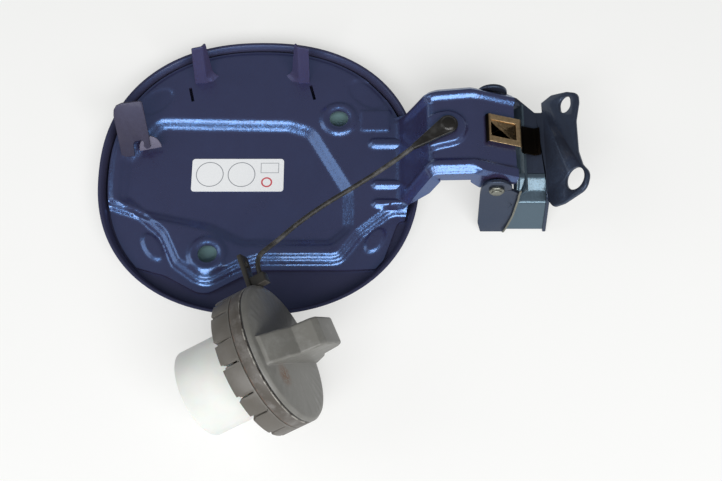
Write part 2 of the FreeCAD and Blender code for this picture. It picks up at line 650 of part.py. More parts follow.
def leaf_spring():
    """The leaf spring: one strip with a window, hooked through the gooseneck."""
    path, hook = spring_line()
    bends = [1.6] * (len(path) - 2)
    strip = prism(sheet_wire(path, bends, size("spring_sheet")), V(0, size("spring_width"), 0))
    strip.translate(V(0, -size("spring_width") / 2, 0))
    inner = size("spring_width") - 2 * size("spring_leg")
    window = Part.makeBox(path[2][0] - hook - 5.0, inner, 40, V(hook + 2.4, -inner / 2, path[2][1] - 3))
    strip = strip.cut(window)
    strip.translate(V(0, size("spring_middle"), 0))
    feature("leaf_spring", strip)


def hinge_pin():
    """The hinge pin, headed at the far side, with a push-on retainer at the near side."""
    ear = "(Sizes.arm_width / 2 + Sizes.ear_gap + Sizes.bracket_sheet)"
    shaft = turned_body("pin_turned", [
        ("0", "0"), ("Sizes.pin_radius", "0"),
        ("Sizes.pin_radius", f"2 * {ear} + Sizes.retainer_length + 0.6"),
        ("Sizes.pin_head_radius", f"2 * {ear} + Sizes.retainer_length + 0.6"),
        ("Sizes.pin_head_radius * 0.92",
         f"2 * {ear} + Sizes.retainer_length + Sizes.pin_head_length * 0.6"),
        ("Sizes.pin_head_radius * 0.6", f"2 * {ear} + Sizes.retainer_length + Sizes.pin_head_length"),
        ("0", f"2 * {ear} + Sizes.retainer_length + Sizes.pin_head_length + 0.3"),
    ])
    reach = number(ear)
    near = size("arm_middle") - reach
    start = near - size("retainer_length") - 0.55
    shaft.Placement = FreeCAD.Placement(V(pin_along(), start, size("pin_level")),
                                        FreeCAD.Rotation(V(1, 0, 0), -90))
    keep(shaft, "hinge_pin")
    washer = turned_body("retainer_turned", [
        ("Sizes.pin_radius", "0"), ("Sizes.retainer_radius * 0.8", "0"), ("Sizes.retainer_radius", "0.6"),
        ("Sizes.retainer_radius", "Sizes.retainer_length"), ("Sizes.pin_radius", "Sizes.retainer_length"),
    ])
    washer.Placement = FreeCAD.Placement(V(pin_along(), near - size("retainer_length") - 0.05,
                                           size("pin_level")), FreeCAD.Rotation(V(1, 0, 0), -90))
    keep(washer, "pin_retainer")


def label():
    """The white label in the pan."""
    block = doc.addObject("Part::Box", "label_block")
    block.setExpression("Length", "Sizes.label_length")
    block.setExpression("Width", "Sizes.label_width")
    block.setExpression("Height", "Sizes.label_sheet")
    doc.recompute()
    rounded = doc.addObject("Part::Fillet", "label_rounded")
    rounded.Base = block
    corners = [i for i, edge in enumerate(block.Shape.Edges, start=1) if abs(edge.tangentAt(0).z) > 0.9]
    rounded.Edges = [(i, size("label_corner"), size("label_corner")) for i in corners]
    x, y = spread(*LABEL_MIDDLE)
    rounded.Placement.Base = V(x - size("label_length") / 2, y - size("label_width") / 2,
                               size("pan_level") + 0.02)
    keep(rounded, "label_plate")


def anchor_tip():
    """Where the cord leaves the tether anchor, and the way it points."""
    x, y = anchor_middle()
    level = size("arm_top") + size("anchor_rise") + 0.05 + size("anchor_sheet") / 2
    way = (V(*CORD_ROUTE[0]) - V(x, y, level))
    way = V(way.x, way.y, 0).normalize()
    return V(x, y, level) + way * size("anchor_length"), way


def tether_anchor():
    """The tether's anchor: a pad that tapers to the cord, with a barbed plug in the gooseneck."""
    tip, way = anchor_tip()
    x, y = anchor_middle()
    level = size("arm_top") + size("anchor_rise") + 0.05
    radius = size("anchor_radius")
    across = V(-way.y, way.x, 0)
    middle = V(x, y, level)
    end = V(tip.x, tip.y, level)
    reach = (end - middle).Length
    half = size("cord_diameter") / 2
    lean = math.asin((radius - half) / reach)
    touch = way * math.sin(lean) + across * math.cos(lean)
    other = way * math.sin(lean) - across * math.cos(lean)
    corners = [middle + touch * radius, end + across * half, end - across * half, middle + other * radius]
    taper = prism(Part.makePolygon(corners + corners[:1]), V(0, 0, size("anchor_sheet")))
    pad = Part.makeCylinder(radius, size("anchor_sheet"), middle).fuse(taper)
    button = Part.makeCone(size("anchor_barb"), size("anchor_barb") * 0.7, 0.9,
                           middle + V(0, 0, size("anchor_sheet")))
    below = size("panel_sheet") + size("anchor_rise") + 0.1
    stem = Part.makeCylinder(size("anchor_stem"), below, middle - V(0, 0, below))
    barb = Part.makeCone(size("anchor_stem") * 0.6, size("anchor_barb"), 4.0, middle - V(0, 0, below + 4.0))
    feature("tether_anchor", pad.fuse([button, stem, barb]).removeSplitter())


def cap_frame(turn):
    """The cap's frame: its axis from the stem's end to the grip, lying on stem and skirt, turned."""
    tilt = math.degrees(math.atan((size("cap_radius") - size("stem_radius")) / size("stem_length")))
    height = size("stem_radius") * math.cos(math.radians(tilt))
    heading = FreeCAD.Rotation(V(0, 0, 1), size("cap_heading"))
    rise = FreeCAD.Rotation(V(0, 1, 0), 90 - tilt)
    spin = FreeCAD.Rotation(V(0, 0, 1), turn)
    return FreeCAD.Placement(V(size("cap_along"), size("cap_across"), height), heading * rise * spin)


RING_LOW = "(Sizes.stem_length + Sizes.skirt_length)"
DISC_LOW = f"({RING_LOW} + Sizes.ring_width + 2 * Sizes.ring_clearance)"
DISC_TOP = f"({DISC_LOW} + Sizes.disc_edge)"
GROOVE = "(Sizes.cap_radius - Sizes.ring_sheet - Sizes.ring_clearance)"
FLANGE_LOW = "(Sizes.stem_length + Sizes.notch_depth + Sizes.fit_gap)"
FLANGE_TOP = f"({FLANGE_LOW} + Sizes.flange_sheet)"
FLANGE_RADIUS = "(Sizes.cap_radius - Sizes.skirt_wall - Sizes.fit_gap)"


def cap_cover():
    """The black cover: disc, groove for the tether ring, skirt of fingers and grip bar, moulded as one."""
    cavity = f"({GROOVE} - Sizes.cover_wall)"
    skirt_inner = "(Sizes.cap_radius - Sizes.skirt_wall)"
    lip = "(Sizes.cap_radius - Sizes.skirt_wall - 1.4)"
    body = turned_body("cover_turned", [
        ("Sizes.cap_radius", "Sizes.stem_length"), ("Sizes.cap_radius", RING_LOW), (GROOVE, RING_LOW),
        (GROOVE, DISC_LOW), ("Sizes.cap_radius", DISC_LOW),
        ("Sizes.cap_radius", f"{DISC_LOW} + Sizes.disc_edge * 0.3"),
        ("Sizes.cap_radius - Sizes.disc_edge * 0.3", f"{DISC_LOW} + Sizes.disc_edge * 0.75"),
        ("Sizes.cap_radius - Sizes.disc_edge", DISC_TOP), ("0", f"{DISC_TOP} + Sizes.disc_crown"),
        ("0", f"{DISC_TOP} - Sizes.cover_wall"), (cavity, f"{DISC_TOP} - Sizes.cover_wall"),
        (cavity, f"{RING_LOW} - Sizes.cover_wall * 0.5"),
        (skirt_inner, f"{RING_LOW} - Sizes.cover_wall * 0.5"),
        (skirt_inner, "Sizes.stem_length + Sizes.notch_depth"),
        (lip, "Sizes.stem_length + Sizes.notch_depth"),
        (lip, "Sizes.stem_length"),
    ])
    end = "(Sizes.cap_radius - Sizes.disc_edge)"
    bar = polygon_sketch(body, "grip_section", [
        ("0", f"{DISC_TOP} - Sizes.cover_wall * 0.5"), (end, f"{DISC_TOP} - Sizes.cover_wall * 0.5"),
        (end, f"{DISC_TOP} + 1.8"), (f"{end} - Sizes.grip_shoulder", f"{DISC_TOP} + Sizes.grip_shoulder"),
        ("Sizes.grip_crest + 3", f"{DISC_TOP} + Sizes.grip_shoulder * 1.35"),
        ("Sizes.grip_crest", f"{DISC_TOP} + Sizes.grip_height * 0.9"),
        ("Sizes.grip_crest * 0.75", f"{DISC_TOP} + Sizes.grip_height"),
        ("0", f"{DISC_TOP} + Sizes.grip_height"),
    ])
    pad = body.newObject("PartDesign::Pad", "grip_bar")
    pad.Profile = bar
    pad.SideType = "Symmetric"
    pad.setExpression("Length", "Sizes.grip_width")
    bar.Visibility = False
    mirror = body.newObject("PartDesign::Mirrored", "grip_other_half")
    mirror.Originals = [pad]
    mirror.MirrorPlane = (origin_plane(body, "YZ_Plane"), [""])
    body.Tip = mirror
    doc.recompute()
    tools = []
    angle = 0.0
    for finger in range(SKIRT_FINGERS):
        slot_depth = "Sizes.skirt_length - Sizes.cover_wall * 0.5"
        for name, width, depth in (("slot", "Sizes.slot_width", slot_depth),
                                   ("notch", "Sizes.notch_width", "Sizes.notch_depth")):
            box = doc.addObject("Part::Box", f"{name}_{finger}")
            box.setExpression("Length", "Sizes.skirt_wall + 4")
            box.setExpression("Width", width)
            box.setExpression("Height", f"{depth} + 1")
            spot = V(number("Sizes.cap_radius - Sizes.skirt_wall - 2"), -number(width) / 2,
                     size("stem_length") - 1)
            box.Placement = FreeCAD.Placement(V(0, 0, 0), FreeCAD.Rotation(V(0, 0, 1), angle)) \
                * FreeCAD.Placement(spot, FreeCAD.Rotation())
            tools.append(box)
        angle += NARROW_FINGER if finger % 2 else 720.0 / SKIRT_FINGERS - NARROW_FINGER
    cutter = doc.addObject("Part::MultiFuse", "finger_cutter")
    cutter.Shapes = tools
    cover = doc.addObject("Part::Cut", "cover_with_fingers")
    cover.Base = body
    cover.Tool = cutter
    doc.recompute()
    rounded = doc.addObject("Part::Fillet", "cover_rounded")
    rounded.Base = cover
    grip_top = number(f"{DISC_TOP} + Sizes.grip_shoulder * 0.3")
    chosen = []
    for i, edge in enumerate(cover.Shape.Edges, start=1):
        straight = edge.Curve.TypeId == "Part::GeomLine"
        spot = edge.CenterOfMass
        if straight and spot.z > grip_top and abs(abs(spot.y) - size("grip_width") / 2) < 0.01:
            chosen.append(i)
    rounded.Edges = [(i, size("grip_edge"), size("grip_edge")) for i in chosen]
    rounded.Placement = cap_frame(size("cap_turn"))
    keep(rounded, "cap_cover")


def tether_ring():
    """The tether's ring in the cover's groove, with the lug and the block that holds the cord's end."""
    low = number(f"{RING_LOW} + Sizes.ring_clearance")
    outer, inner = size("cap_radius"), size("cap_radius") - size("ring_sheet")
    width = size("ring_width")
    ring = Part.makeCylinder(outer, width, V(0, 0, low)).cut(Part.makeCylinder(inner, width, V(0, 0, low)))
    thick = size("lug_sheet")
    middle = low + width / 2
    lug = Part.makeBox(size("lug_length") + 1.0, size("lug_width"), thick,
                       V(outer - 1.0, -size("lug_width") / 2, middle - thick / 2))
    eye = Part.makeCylinder(size("lug_width") * 0.22, 20,
                            V(outer + size("lug_length") * 0.72, 0, middle - 10))
    block = size("cord_boss")
    boss = Part.makeBox(block, block, block + thick, V(outer + 0.6, -block / 2, middle + thick / 2))
    shape = ring.fuse([lug.cut(eye), boss]).removeSplitter()
    piece = feature("tether_ring", shape)
    piece.Placement = cap_frame(size("lug_heading"))


def cord_end():
    """Where the cord meets the block on the tether ring, and the way it arrives."""
    frame = cap_frame(size("lug_heading"))
    block = size("cord_boss")
    middle = number(f"{RING_LOW} + Sizes.ring_clearance + Sizes.ring_width / 2")
    spot = V(size("cap_radius") + 0.6 + block, 0, middle + size("lug_sheet") + block / 2 + 1.0)
    return frame.multVec(spot), frame.Rotation.multVec(V(1, 0, 0))


def tether_cord():
    """The tether's cord: straight runs joined by tangent arcs as large as the runs allow."""
    start, _ = anchor_tip()
    stop, outward = cord_end()
    points = [start] + [V(*point) for point in CORD_ROUTE] + [stop + outward * 5.0, stop]
    edges = []
    last = points[0]
    radii = []
    for before, point, after in zip(points, points[1:], points[2:]):
        into, out = (point - before), (after - point)
        shorter = min(into.Length, out.Length)
        into.normalize()
        out.normalize()
        angle = into.getAngle(out)
        reach = 0.45 * shorter
        radius = reach / math.tan(angle / 2)
        radii.append(round(radius, 1))
        middle = point + (out - into).normalize() * (radius / math.cos(angle / 2) - radius)
        edges.append(Part.LineSegment(last, point - into * reach).toShape())
        edges.append(Part.Arc(point - into * reach, middle, point + out * reach).toShape())
        last = point + out * reach
    edges.append(Part.LineSegment(last, points[-1]).toShape())
    path = Part.Wire(edges)
    section = Part.Wire(Part.Circle(points[0], points[1] - points[0], size("cord_diameter") / 2).toShape())
    tube = path.makePipeShell([section], True, True)
    full = math.pi * size("cord_diameter") ** 2 / 4 * path.Length
    print("cord radii", radii, "length", round(path.Length, 1), "volume ratio", round(tube.Volume / full, 4))
    feature("tether_cord", tube, on_cord=True)


def cap_stem():
    """The white stem: a cup under a flange, with a toothed crown on the flange."""
    bore = "(Sizes.stem_radius - Sizes.stem_wall)"
    crown_top = f"({FLANGE_TOP} + Sizes.crown_height)"
    body = turned_body("stem_turned", [
        ("Sizes.stem_radius", "0"), ("Sizes.stem_radius", FLANGE_LOW), (FLANGE_RADIUS, FLANGE_LOW),
        (FLANGE_RADIUS, FLANGE_TOP), ("Sizes.crown_outer", FLANGE_TOP), ("Sizes.crown_outer", crown_top),
        ("Sizes.crown_outer - 3", crown_top), ("Sizes.crown_outer - 3", FLANGE_TOP),
        ("Sizes.vent_radius", FLANGE_TOP),
        ("Sizes.vent_radius", FLANGE_LOW), (bore, FLANGE_LOW), (bore, "0"),
    ])
    doc.recompute()
    tooth = size("tooth_height")
    radius = size("crown_outer")
    base = number(FLANGE_TOP)
    extra = []
    for step in range(CROWN_TEETH):
        angle = 2 * math.pi * step / CROWN_TEETH
        next_angle = angle + math.pi / CROWN_TEETH
        first = V(math.cos(angle), math.sin(angle), 0)
        second = V(math.cos(next_angle), math.sin(next_angle), 0)
        corners = [first * (radius - 0.5), first * (radius + tooth), second * (radius - 0.5)]
        wedge = prism(Part.makePolygon(corners + corners[:1]), V(0, 0, size("crown_height")))
        wedge.translate(V(0, 0, base))
        extra.append(wedge)
    piece = feature("cap_stem", body.Shape.fuse(extra).removeSplitter())
    piece.Placement = cap_frame(0)


def cap_inside():
    """What the cap holds inside: seal, ratchet ring, vent valve with its seal and spring, stem closure."""
    frame = cap_frame(0)
    gap = "Sizes.fit_gap"
    seal = turned_body("seal_turned", [
        (f"Sizes.stem_radius + {gap}", f"{FLANGE_LOW} - Sizes.seal_sheet - 0.05"),
        ("Sizes.stem_radius + Sizes.seal_width", f"{FLANGE_LOW} - Sizes.seal_sheet - 0.05"),
        ("Sizes.stem_radius + Sizes.seal_width + 0.8", f"{FLANGE_LOW} - Sizes.seal_sheet * 0.5"),
        ("Sizes.stem_radius + Sizes.seal_width", f"{FLANGE_LOW} - 0.05"),
        (f"Sizes.stem_radius + {gap}", f"{FLANGE_LOW} - 0.05"),
    ])
    seal.Placement = frame
    keep(seal, "stem_seal")
    outer = size("cap_radius") - size("ring_sheet") - size("ring_clearance")
    outer -= size("cover_wall") + size("fit_gap")
    inner = outer - size("ratchet_wall")
    base = number(FLANGE_TOP) + 0.1
    high = size("crown_height") - 0.2
    ring = Part.makeCylinder(outer, high, V(0, 0, base)).cut(Part.makeCylinder(inner, high, V(0, 0, base)))
    tip = size("crown_outer") + size("tooth_height") + size("pawl_gap")
    for step in range(PAWLS):
        corners = [(inner + 0.4, -4), (inner + 0.4, -1), (tip, 4.2), (tip, 3.0), (inner + 0.4, -4)]
        pawl = prism(Part.makePolygon([V(x, y, 0) for x, y in corners]), V(0, 0, high))
        pawl.translate(V(0, 0, base))
        pawl.rotate(V(0, 0, 0), V(0, 0, 1), 360.0 * step / PAWLS)
        ring = ring.fuse(pawl)
    ratchet = feature("ratchet_ring", ring.removeSplitter())
    ratchet.Placement = cap_frame(size("cap_turn"))
    seal_low = f"({FLANGE_LOW} - Sizes.valve_seal_sheet - 0.05)"
    plate_low = f"({seal_low} - Sizes.valve_sheet)"
    plate = turned_body("valve_turned", [
        ("0", plate_low), ("Sizes.valve_radius", plate_low), ("Sizes.valve_radius", seal_low),
        ("0", seal_low),
    ])
    plate.Placement = frame
    keep(plate, "vent_valve")
    ring_seal = turned_body("valve_seal_turned", [
        ("Sizes.vent_radius + 0.4", seal_low), ("Sizes.valve_radius - 0.3", seal_low),
        ("Sizes.valve_radius - 0.3", f"{FLANGE_LOW} - 0.05"),
        ("Sizes.vent_radius + 0.4", f"{FLANGE_LOW} - 0.05"),
    ])
    ring_seal.Placement = frame
    keep(ring_seal, "vent_valve_seal")
    closure_top = "(Sizes.closure_depth + Sizes.closure_sheet)"
    closure = turned_body("closure_turned", [
        ("1.5", "Sizes.closure_depth"),
        ("Sizes.stem_radius - Sizes.stem_wall - 0.05", "Sizes.closure_depth"),
        (f"Sizes.stem_radius - Sizes.stem_wall - 0.05", closure_top), ("Sizes.guide_radius", closure_top),
        ("Sizes.guide_radius", f"{closure_top} + Sizes.guide_length"),
        ("1.5", f"{closure_top} + Sizes.guide_length"),
    ])
    closure.Placement = frame
    keep(closure, "stem_closure")
    wire = size("spring_wire")
    low = number(closure_top) + wire / 2 + 0.3
    top = number(plate_low) - wire / 2 - 0.3
    coil = size("spring_coil_radius")
    helix = Part.makeHelix((top - low) / size("spring_turns"), top - low, coil)
    helix.translate(V(0, 0, low))
    section = Part.Wire(Part.Circle(V(coil, 0, low), V(0, 1, 0), wire / 2).toShape())
    piece = feature("vent_spring", Part.Wire(helix).makePipeShell([section], True, True))
    piece.Placement = frame


def build():
    """Make every sub-part."""
    outer_skin()
    inner_panel()
    mastic_pads()
    hinge_bracket()
    leaf_spring()
    hinge_pin()
    label()
    tether_anchor()
    cap_cover()
    tether_ring()
    tether_cord()
    cap_stem()
    cap_inside()


def settle():
    """Move all pieces together so that the origin is under the middle of the part, cord aside."""
    doc.recompute()
    box = FreeCAD.BoundBox()
    for piece, on_cord in pieces:
        if not on_cord:
            box.add(piece.Shape.BoundBox)
    shift = FreeCAD.Placement(V(-box.Center.x, -box.Center.y, -box.ZMin), FreeCAD.Rotation())
    for piece, _ in pieces:
        piece.Placement = shift * piece.Placement
    doc.recompute()
    print("shift", [round(value, 4) for value in shift.Base])
    print("size", round(box.XLength, 2), round(box.YLength, 2), round(box.ZLength, 2))


def write():
    """Stop on any failed object or shape, then write one file for each sub-part."""
    for item in doc.Objects:
        if "Invalid" in item.State or "Error" in item.State:
            raise RuntimeError(f"{item.Label} failed: {item.State}")
    for piece, _ in pieces:
        if piece.Shape.isNull() or not piece.Shape.isValid():
            raise RuntimeError(f"{piece.Label} has no valid shape")
    os.makedirs("parts", exist_ok=True)
    for piece, _ in pieces:
        piece.Shape.exportStep(f"parts/{piece.Label}.step")
        print(piece.Label, len(piece.Shape.Solids), round(piece.Shape.Volume, 1))


build()
settle()
write()
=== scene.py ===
"""Fuel filler flap with hinge, tether and screw cap, lying outer skin down on a pale table."""
import json
import math

import bpy
import numpy as np
from bpy.props import FloatProperty, PointerProperty, StringProperty
from mathutils import Matrix, Vector

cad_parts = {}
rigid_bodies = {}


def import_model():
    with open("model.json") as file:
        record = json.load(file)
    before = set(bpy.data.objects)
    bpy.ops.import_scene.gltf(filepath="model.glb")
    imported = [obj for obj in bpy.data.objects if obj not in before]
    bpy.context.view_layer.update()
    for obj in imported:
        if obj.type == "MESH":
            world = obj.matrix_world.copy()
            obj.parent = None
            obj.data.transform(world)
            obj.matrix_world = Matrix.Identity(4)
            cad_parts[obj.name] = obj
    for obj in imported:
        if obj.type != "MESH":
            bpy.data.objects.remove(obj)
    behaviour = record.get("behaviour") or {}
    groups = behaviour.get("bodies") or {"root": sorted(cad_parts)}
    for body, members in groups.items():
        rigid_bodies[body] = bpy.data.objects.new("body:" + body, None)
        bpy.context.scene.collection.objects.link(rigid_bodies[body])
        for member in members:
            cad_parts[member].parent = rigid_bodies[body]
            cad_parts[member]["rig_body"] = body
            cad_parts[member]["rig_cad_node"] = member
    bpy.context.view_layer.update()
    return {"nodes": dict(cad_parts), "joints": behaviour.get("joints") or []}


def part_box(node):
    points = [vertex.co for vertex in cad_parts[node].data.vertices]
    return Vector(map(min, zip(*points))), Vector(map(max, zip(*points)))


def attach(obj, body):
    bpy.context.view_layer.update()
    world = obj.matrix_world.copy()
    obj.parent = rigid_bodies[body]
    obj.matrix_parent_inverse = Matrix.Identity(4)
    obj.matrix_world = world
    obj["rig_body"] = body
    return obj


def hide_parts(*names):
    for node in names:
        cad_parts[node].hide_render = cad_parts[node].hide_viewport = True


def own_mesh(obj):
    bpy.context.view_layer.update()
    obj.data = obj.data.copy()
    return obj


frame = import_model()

bl_info = {
    "name": "Fuel filler flap",
    "version": (1, 0, 0),
    "blender": (4, 5, 0),
    "location": "View3D > Sidebar > Flap",
    "description": "Dresses a fuel filler flap with its hinge, tether and cap",
    "category": "Object",
}

MM = 0.001
SKIN_LOW, SKIN_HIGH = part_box("outer_skin")
FLAP = Vector(((SKIN_LOW.x + SKIN_HIGH.x) / 2, (SKIN_LOW.y + SKIN_HIGH.y) / 2, 0.0))
JOINTS = {joint["name"]: joint for joint in frame["joints"]}

# Places from here on are in millimetres from the flap's middle, on the resting surface.
# Outlines of the pressed panel, as x, y and corner radius.
PLATEAU_EDGE = [
    (-95.0, -19.0, 4.0), (-73.0, -19.0, 4.0), (-58.0, -24.5, 8.0), (-48.0, -34.0, 8.0), (-41.0, -49.0, 6.0),
    (-25.0, -61.0, 11.0), (-9.0, -52.0, 8.0), (2.0, -48.2, 8.0), (41.0, -48.2, 9.0), (51.5, -34.0, 7.0),
    (66.0, -22.0, 7.0), (95.0, -22.5, 4.0), (95.0, 95.0, 4.0), (-95.0, 95.0, 4.0),
]
SHEET_EDGE = [
    (-95.0, -21.5, 4.0), (-73.0, -21.5, 3.0), (-66.0, -47.0, 5.0), (-44.0, -53.5, 5.0), (-25.0, -64.0, 11.0),
    (-8.0, -54.5, 8.0), (2.0, -50.6, 8.0), (42.0, -50.6, 8.0), (60.0, -50.0, 6.0), (69.0, -24.5, 4.0),
    (95.0, -25.0, 4.0), (95.0, 95.0, 4.0), (-95.0, 95.0, 4.0),
]
PAN_EDGE = [
    (47.0, -31.0, 9.0), (47.0, -9.0, 12.0), (27.0, 26.0, 12.0), (15.0, 30.0, 8.0), (-52.0, 31.5, 8.0),
    (-69.5, 9.0, 9.0), (-70.0, -14.0, 7.0), (-58.0, -24.0, 8.0), (-24.0, -31.5, 12.0), (-8.0, -40.0, 12.0),
    (37.0, -40.0, 10.0),
]
# The panel's grid, its inset from the skin's edge, and the inset and drop of its rolled rim.
PANEL_GRID, SHEET_INSET, RIM_INSET, RIM_DROP = (156, 148), 4.8, 5.4, 1.1
# Holes of the panel, the raised rings round them and the dips inside the rings.
PANEL_HOLES, HOLE_RADIUS = [(39.5, 30.6), (-23.6, -44.1)], 4.7
HOLE_RING, HOLE_DIP = (10.6, 1.6), (7.0, 0.9)
# Slots beside the posts, from end to end.
RELIEF_SLOTS, SLOT_WIDTH = [((-37.0, 49.0), (-35.2, 41.0)), ((24.8, 50.5), (27.0, 42.0))], 1.5
# Darts by the gooseneck as x, y and half width, with the x of their far end and their lift.
DARTS, DART_END, DART_LIFT = [(57.5, 16.5, 3.9), (58.5, -6.5, 3.3), (58.5, -17.0, 3.2)], 74.0, 1.9
# Lens-shaped pads as x, y, half length, half width, turn in degrees and lift.
LENS_PADS = [(-54.0, 41.0, 11.0, 6.5, 40.0, -0.7), (54.0, 45.5, 12.0, 7.5, -38.0, -0.7),
             (57.5, -35.0, 8.5, 4.6, 58.0, 1.2), (-51.0, -38.5, 9.5, 4.6, -58.0, 1.2)]
# Ledge by the gooseneck: its middle, half length and half width, and lift.
LEDGE, LEDGE_HALF, LEDGE_LIFT = (58.0, 29.5), (7.5, 6.0), 1.0
# Gooseneck: its section in x, z with the radii of its bends.
ARM_LINE = [(64.0, 8.3), (69.5, 8.3), (82.5, 40.0), (105.0, 40.0), (126.0, 31.5)]
ARM_BENDS = [5.0, 9.0, 12.0]
# Along X: depth of the gooseneck's side flanges, its near side and its far side.
ARM_ALONG = [64.0, 70.2, 71.5, 76.0, 84.0, 104.0, 110.0, 113.0, 119.0, 123.0, 126.5]
ARM_DEPTH = [0.4, 0.6, 3.0, 8.4, 9.0, 9.4, 13.0, 14.4, 12.6, 6.4, 4.2]
ARM_NEAR = [-20.0, -20.0, -19.4, -17.6, -15.8, -15.2, -15.4, -15.6, -15.8, -15.8, -15.8]
ARM_FAR = [31.5, 31.5, 31.4, 30.8, 30.2, 32.0, 32.0, 32.0, 32.0, 32.0, 32.0]
# Gooseneck: bead along its edges, share of its grid on each side flange, depth of its sunk middle.
ARM_BEAD, ARM_SIDE, ARM_SUNK = 2.6, 0.12, 1.9
# Raised pad of the tether: its middle line from end to end, reach and lift.
PAD_START, PAD_END, PAD_REACH, PAD_LIFT = (92.2, 8.4), (84.0, 6.4), 10.2, 2.9
# Posts: middle and half spacing along X, y and z of the foot, height, width and lean in degrees.
POST_MIDDLE, POST_HALF_SPACING, POST_FOOT = -5.2, 24.5, (51.5, 7.6)
POST_HEIGHT, POST_WIDTH, POST_LEAN = 23.0, 12.0, 22.0
# Striker plate and its lug: width and reach or half width and reach, foot, turn and lean in degrees.
STRIKER_WIDTH, STRIKER_REACH, STRIKER_FOOT, STRIKER_TURN = 15.0, 28.0, (-62.0, 11.5, 7.9), (8.0, 56.0)
LUG_HALF_WIDTH, LUG_REACH, LUG_FOOT, LUG_TURN = 5.6, 7.4, (-55.0, 14.2, 7.2), (12.0, 60.0)
FOLD_SHEET = 1.2
# The near wall of the bracket: its free edge in x, z and its section in y, z from the floor to its foot.
EAR_EDGE = [(127.2, 31.0), (126.6, 20.0), (124.6, 10.0), (122.4, 4.0), (119.6, -2.0)]
WALL_LINE = [(-7.0, 22.0), (-9.5, 22.0), (-15.0, 18.4), (-20.6, 16.8), (-27.3, 0.6)]
WALL_BENDS = [2.4, 2.0, 1.8]
WALL_END, WALL_CUT, WALL_SHEET, FLOOR_LEVEL = 141.3, 140.2, 1.6, 22.0
# Rounded trough of the bracket: radius round the pin, near side and length along Y.
TROUGH_RADIUS, TROUGH_NEAR, TROUGH_LENGTH = 15.9, -16.6, 47.6
# Window in the leaf spring: its middle and its size.
WINDOW_MIDDLE, WINDOW_SIZE = (119.3, 9.5, 38.0), (12.6, 8.8, 14.0)
# The tether's route from its anchor to the ring on the cap, as in the solid.
TETHER_ROUTE = [
    (75.13, -3.98, 42.25), (66.7, -10.1, 40.4), (52.6, -19.2, 37.9), (33.9, -30.3, 35.5), (21.1, -39.6, 34.0),
    (12.7, -47.8, 34.0), (8.4, -52.2, 35.3), (4.2, -56.6, 36.8), (3.23, -62.07, 37.33), (4.88, -66.79, 37.33),
]
# The cap's radius, and its lengths along its axis from the end of the stem, as in the solid.
CAP_RADIUS, STEM_LENGTH, SKIRT_LENGTH, RING_WIDTH, RING_CLEARANCE = 33.0, 28.0, 9.0, 5.4, 0.25
RING_LOW = STEM_LENGTH + SKIRT_LENGTH
DISC_LOW = RING_LOW + RING_WIDTH + 2 * RING_CLEARANCE
STAIN_MIDDLE = (17.7, -118.6, 49.7)
# Rings printed on the label as x, y, radius, half width of the line and ink, from the label's middle.
LABEL_RINGS = [
    (-14.0, 0.4, 6.7, 0.22, "#8E9196"), (1.9, 0.3, 6.7, 0.22, "#8E9196"), (14.6, -4.0, 2.4, 0.4, "#C9555C"),
]
# Frame printed on the label as x, y, half width, half height, half width of the line and ink.
LABEL_FRAME = (16.0, 4.0, 4.4, 2.7, 0.2, "#A9ACB0")
CAMERA_SPOT, CAMERA_AIM, CAMERA_LENS = (50.7, -280.9, 556.4), (50.7, -33.2, 0.0), 61.6
# Lamps as name, place from the camera's aim and size in metres, and power in watts.
LAMPS = [("window", (0.1, -1.0, 1.02), (2.2, 0.62), 29.0), ("skylight", (-1.3, 0.1, 0.85), (0.9, 0.9), 3.6)]
ROOM_LIGHT, TABLE_GLOW = 0.19, 0.55
MATERIALS = {}


class FlapSizes(bpy.types.PropertyGroup):
    """Sizes of the dressed pieces."""

    plateau_level: FloatProperty(name="Plateau level", description="Raised field of the panel",
                                 default=8.2 * MM, unit="LENGTH")
    flange_level: FloatProperty(name="Flange level", description="Panel flange on the skin",
                                default=4.0 * MM, unit="LENGTH")
    pan_level: FloatProperty(name="Pan level", description="Sunk field of the panel",
                             default=4.6 * MM, unit="LENGTH")
    panel_sheet: FloatProperty(name="Panel sheet", description="Thickness of the inner panel",
                               default=0.9 * MM, unit="LENGTH")
    grid_step: FloatProperty(name="Grid step", description="Mesh spacing of the pressed panel",
                             default=0.85 * MM, unit="LENGTH")
    tether_diameter: FloatProperty(name="Tether", description="Diameter of the tether cord",
                                   default=2.3 * MM, unit="LENGTH")
    edge_round: FloatProperty(name="Edge rounding", description="Rounding of cut and moulded edges",
                              default=0.35 * MM, unit="LENGTH")


class FlapFinishes(bpy.types.PropertyGroup):
    """Colours of the finishes, as sRGB hex."""

    paint_deep: StringProperty(name="Paint", description="Metallic paint in shade", default="#4A3F5C")
    paint_flake: StringProperty(name="Flake", description="Metallic paint in light", default="#4F74A6")
    hem_deep: StringProperty(name="Hem", description="Skin's paint in shade", default="#3C3A50")
    bracket_deep: StringProperty(name="Bracket", description="Bracket coat in shade", default="#2F313C")
    bracket_flake: StringProperty(name="Bracket sheen", description="Bracket coat in light",
                                  default="#4A5C76")
    cap_black: StringProperty(name="Cap", description="Moulded cap", default="#6A6964")
    tether_black: StringProperty(name="Tether", description="Moulded tether", default="#201E1B")
    stem_white: StringProperty(name="Stem", description="Moulded stem", default="#DCDDD9")
    zinc_grey: StringProperty(name="Zinc", description="Plated pin", default="#8E9088")
    zinc_yellow: StringProperty(name="Yellow zinc", description="Plated leaf spring", default="#DDBE92")
    label_white: StringProperty(name="Label", description="Label stock", default="#F2F3F3")
    floor_white: StringProperty(name="Table", description="Table top", default="#F6F6F6")


def sizes():
    """The sizes that the sidebar shows."""
    return bpy.context.scene.flap_sizes


def finishes():
    """The colours that the sidebar shows."""
    return bpy.context.scene.flap_finishes


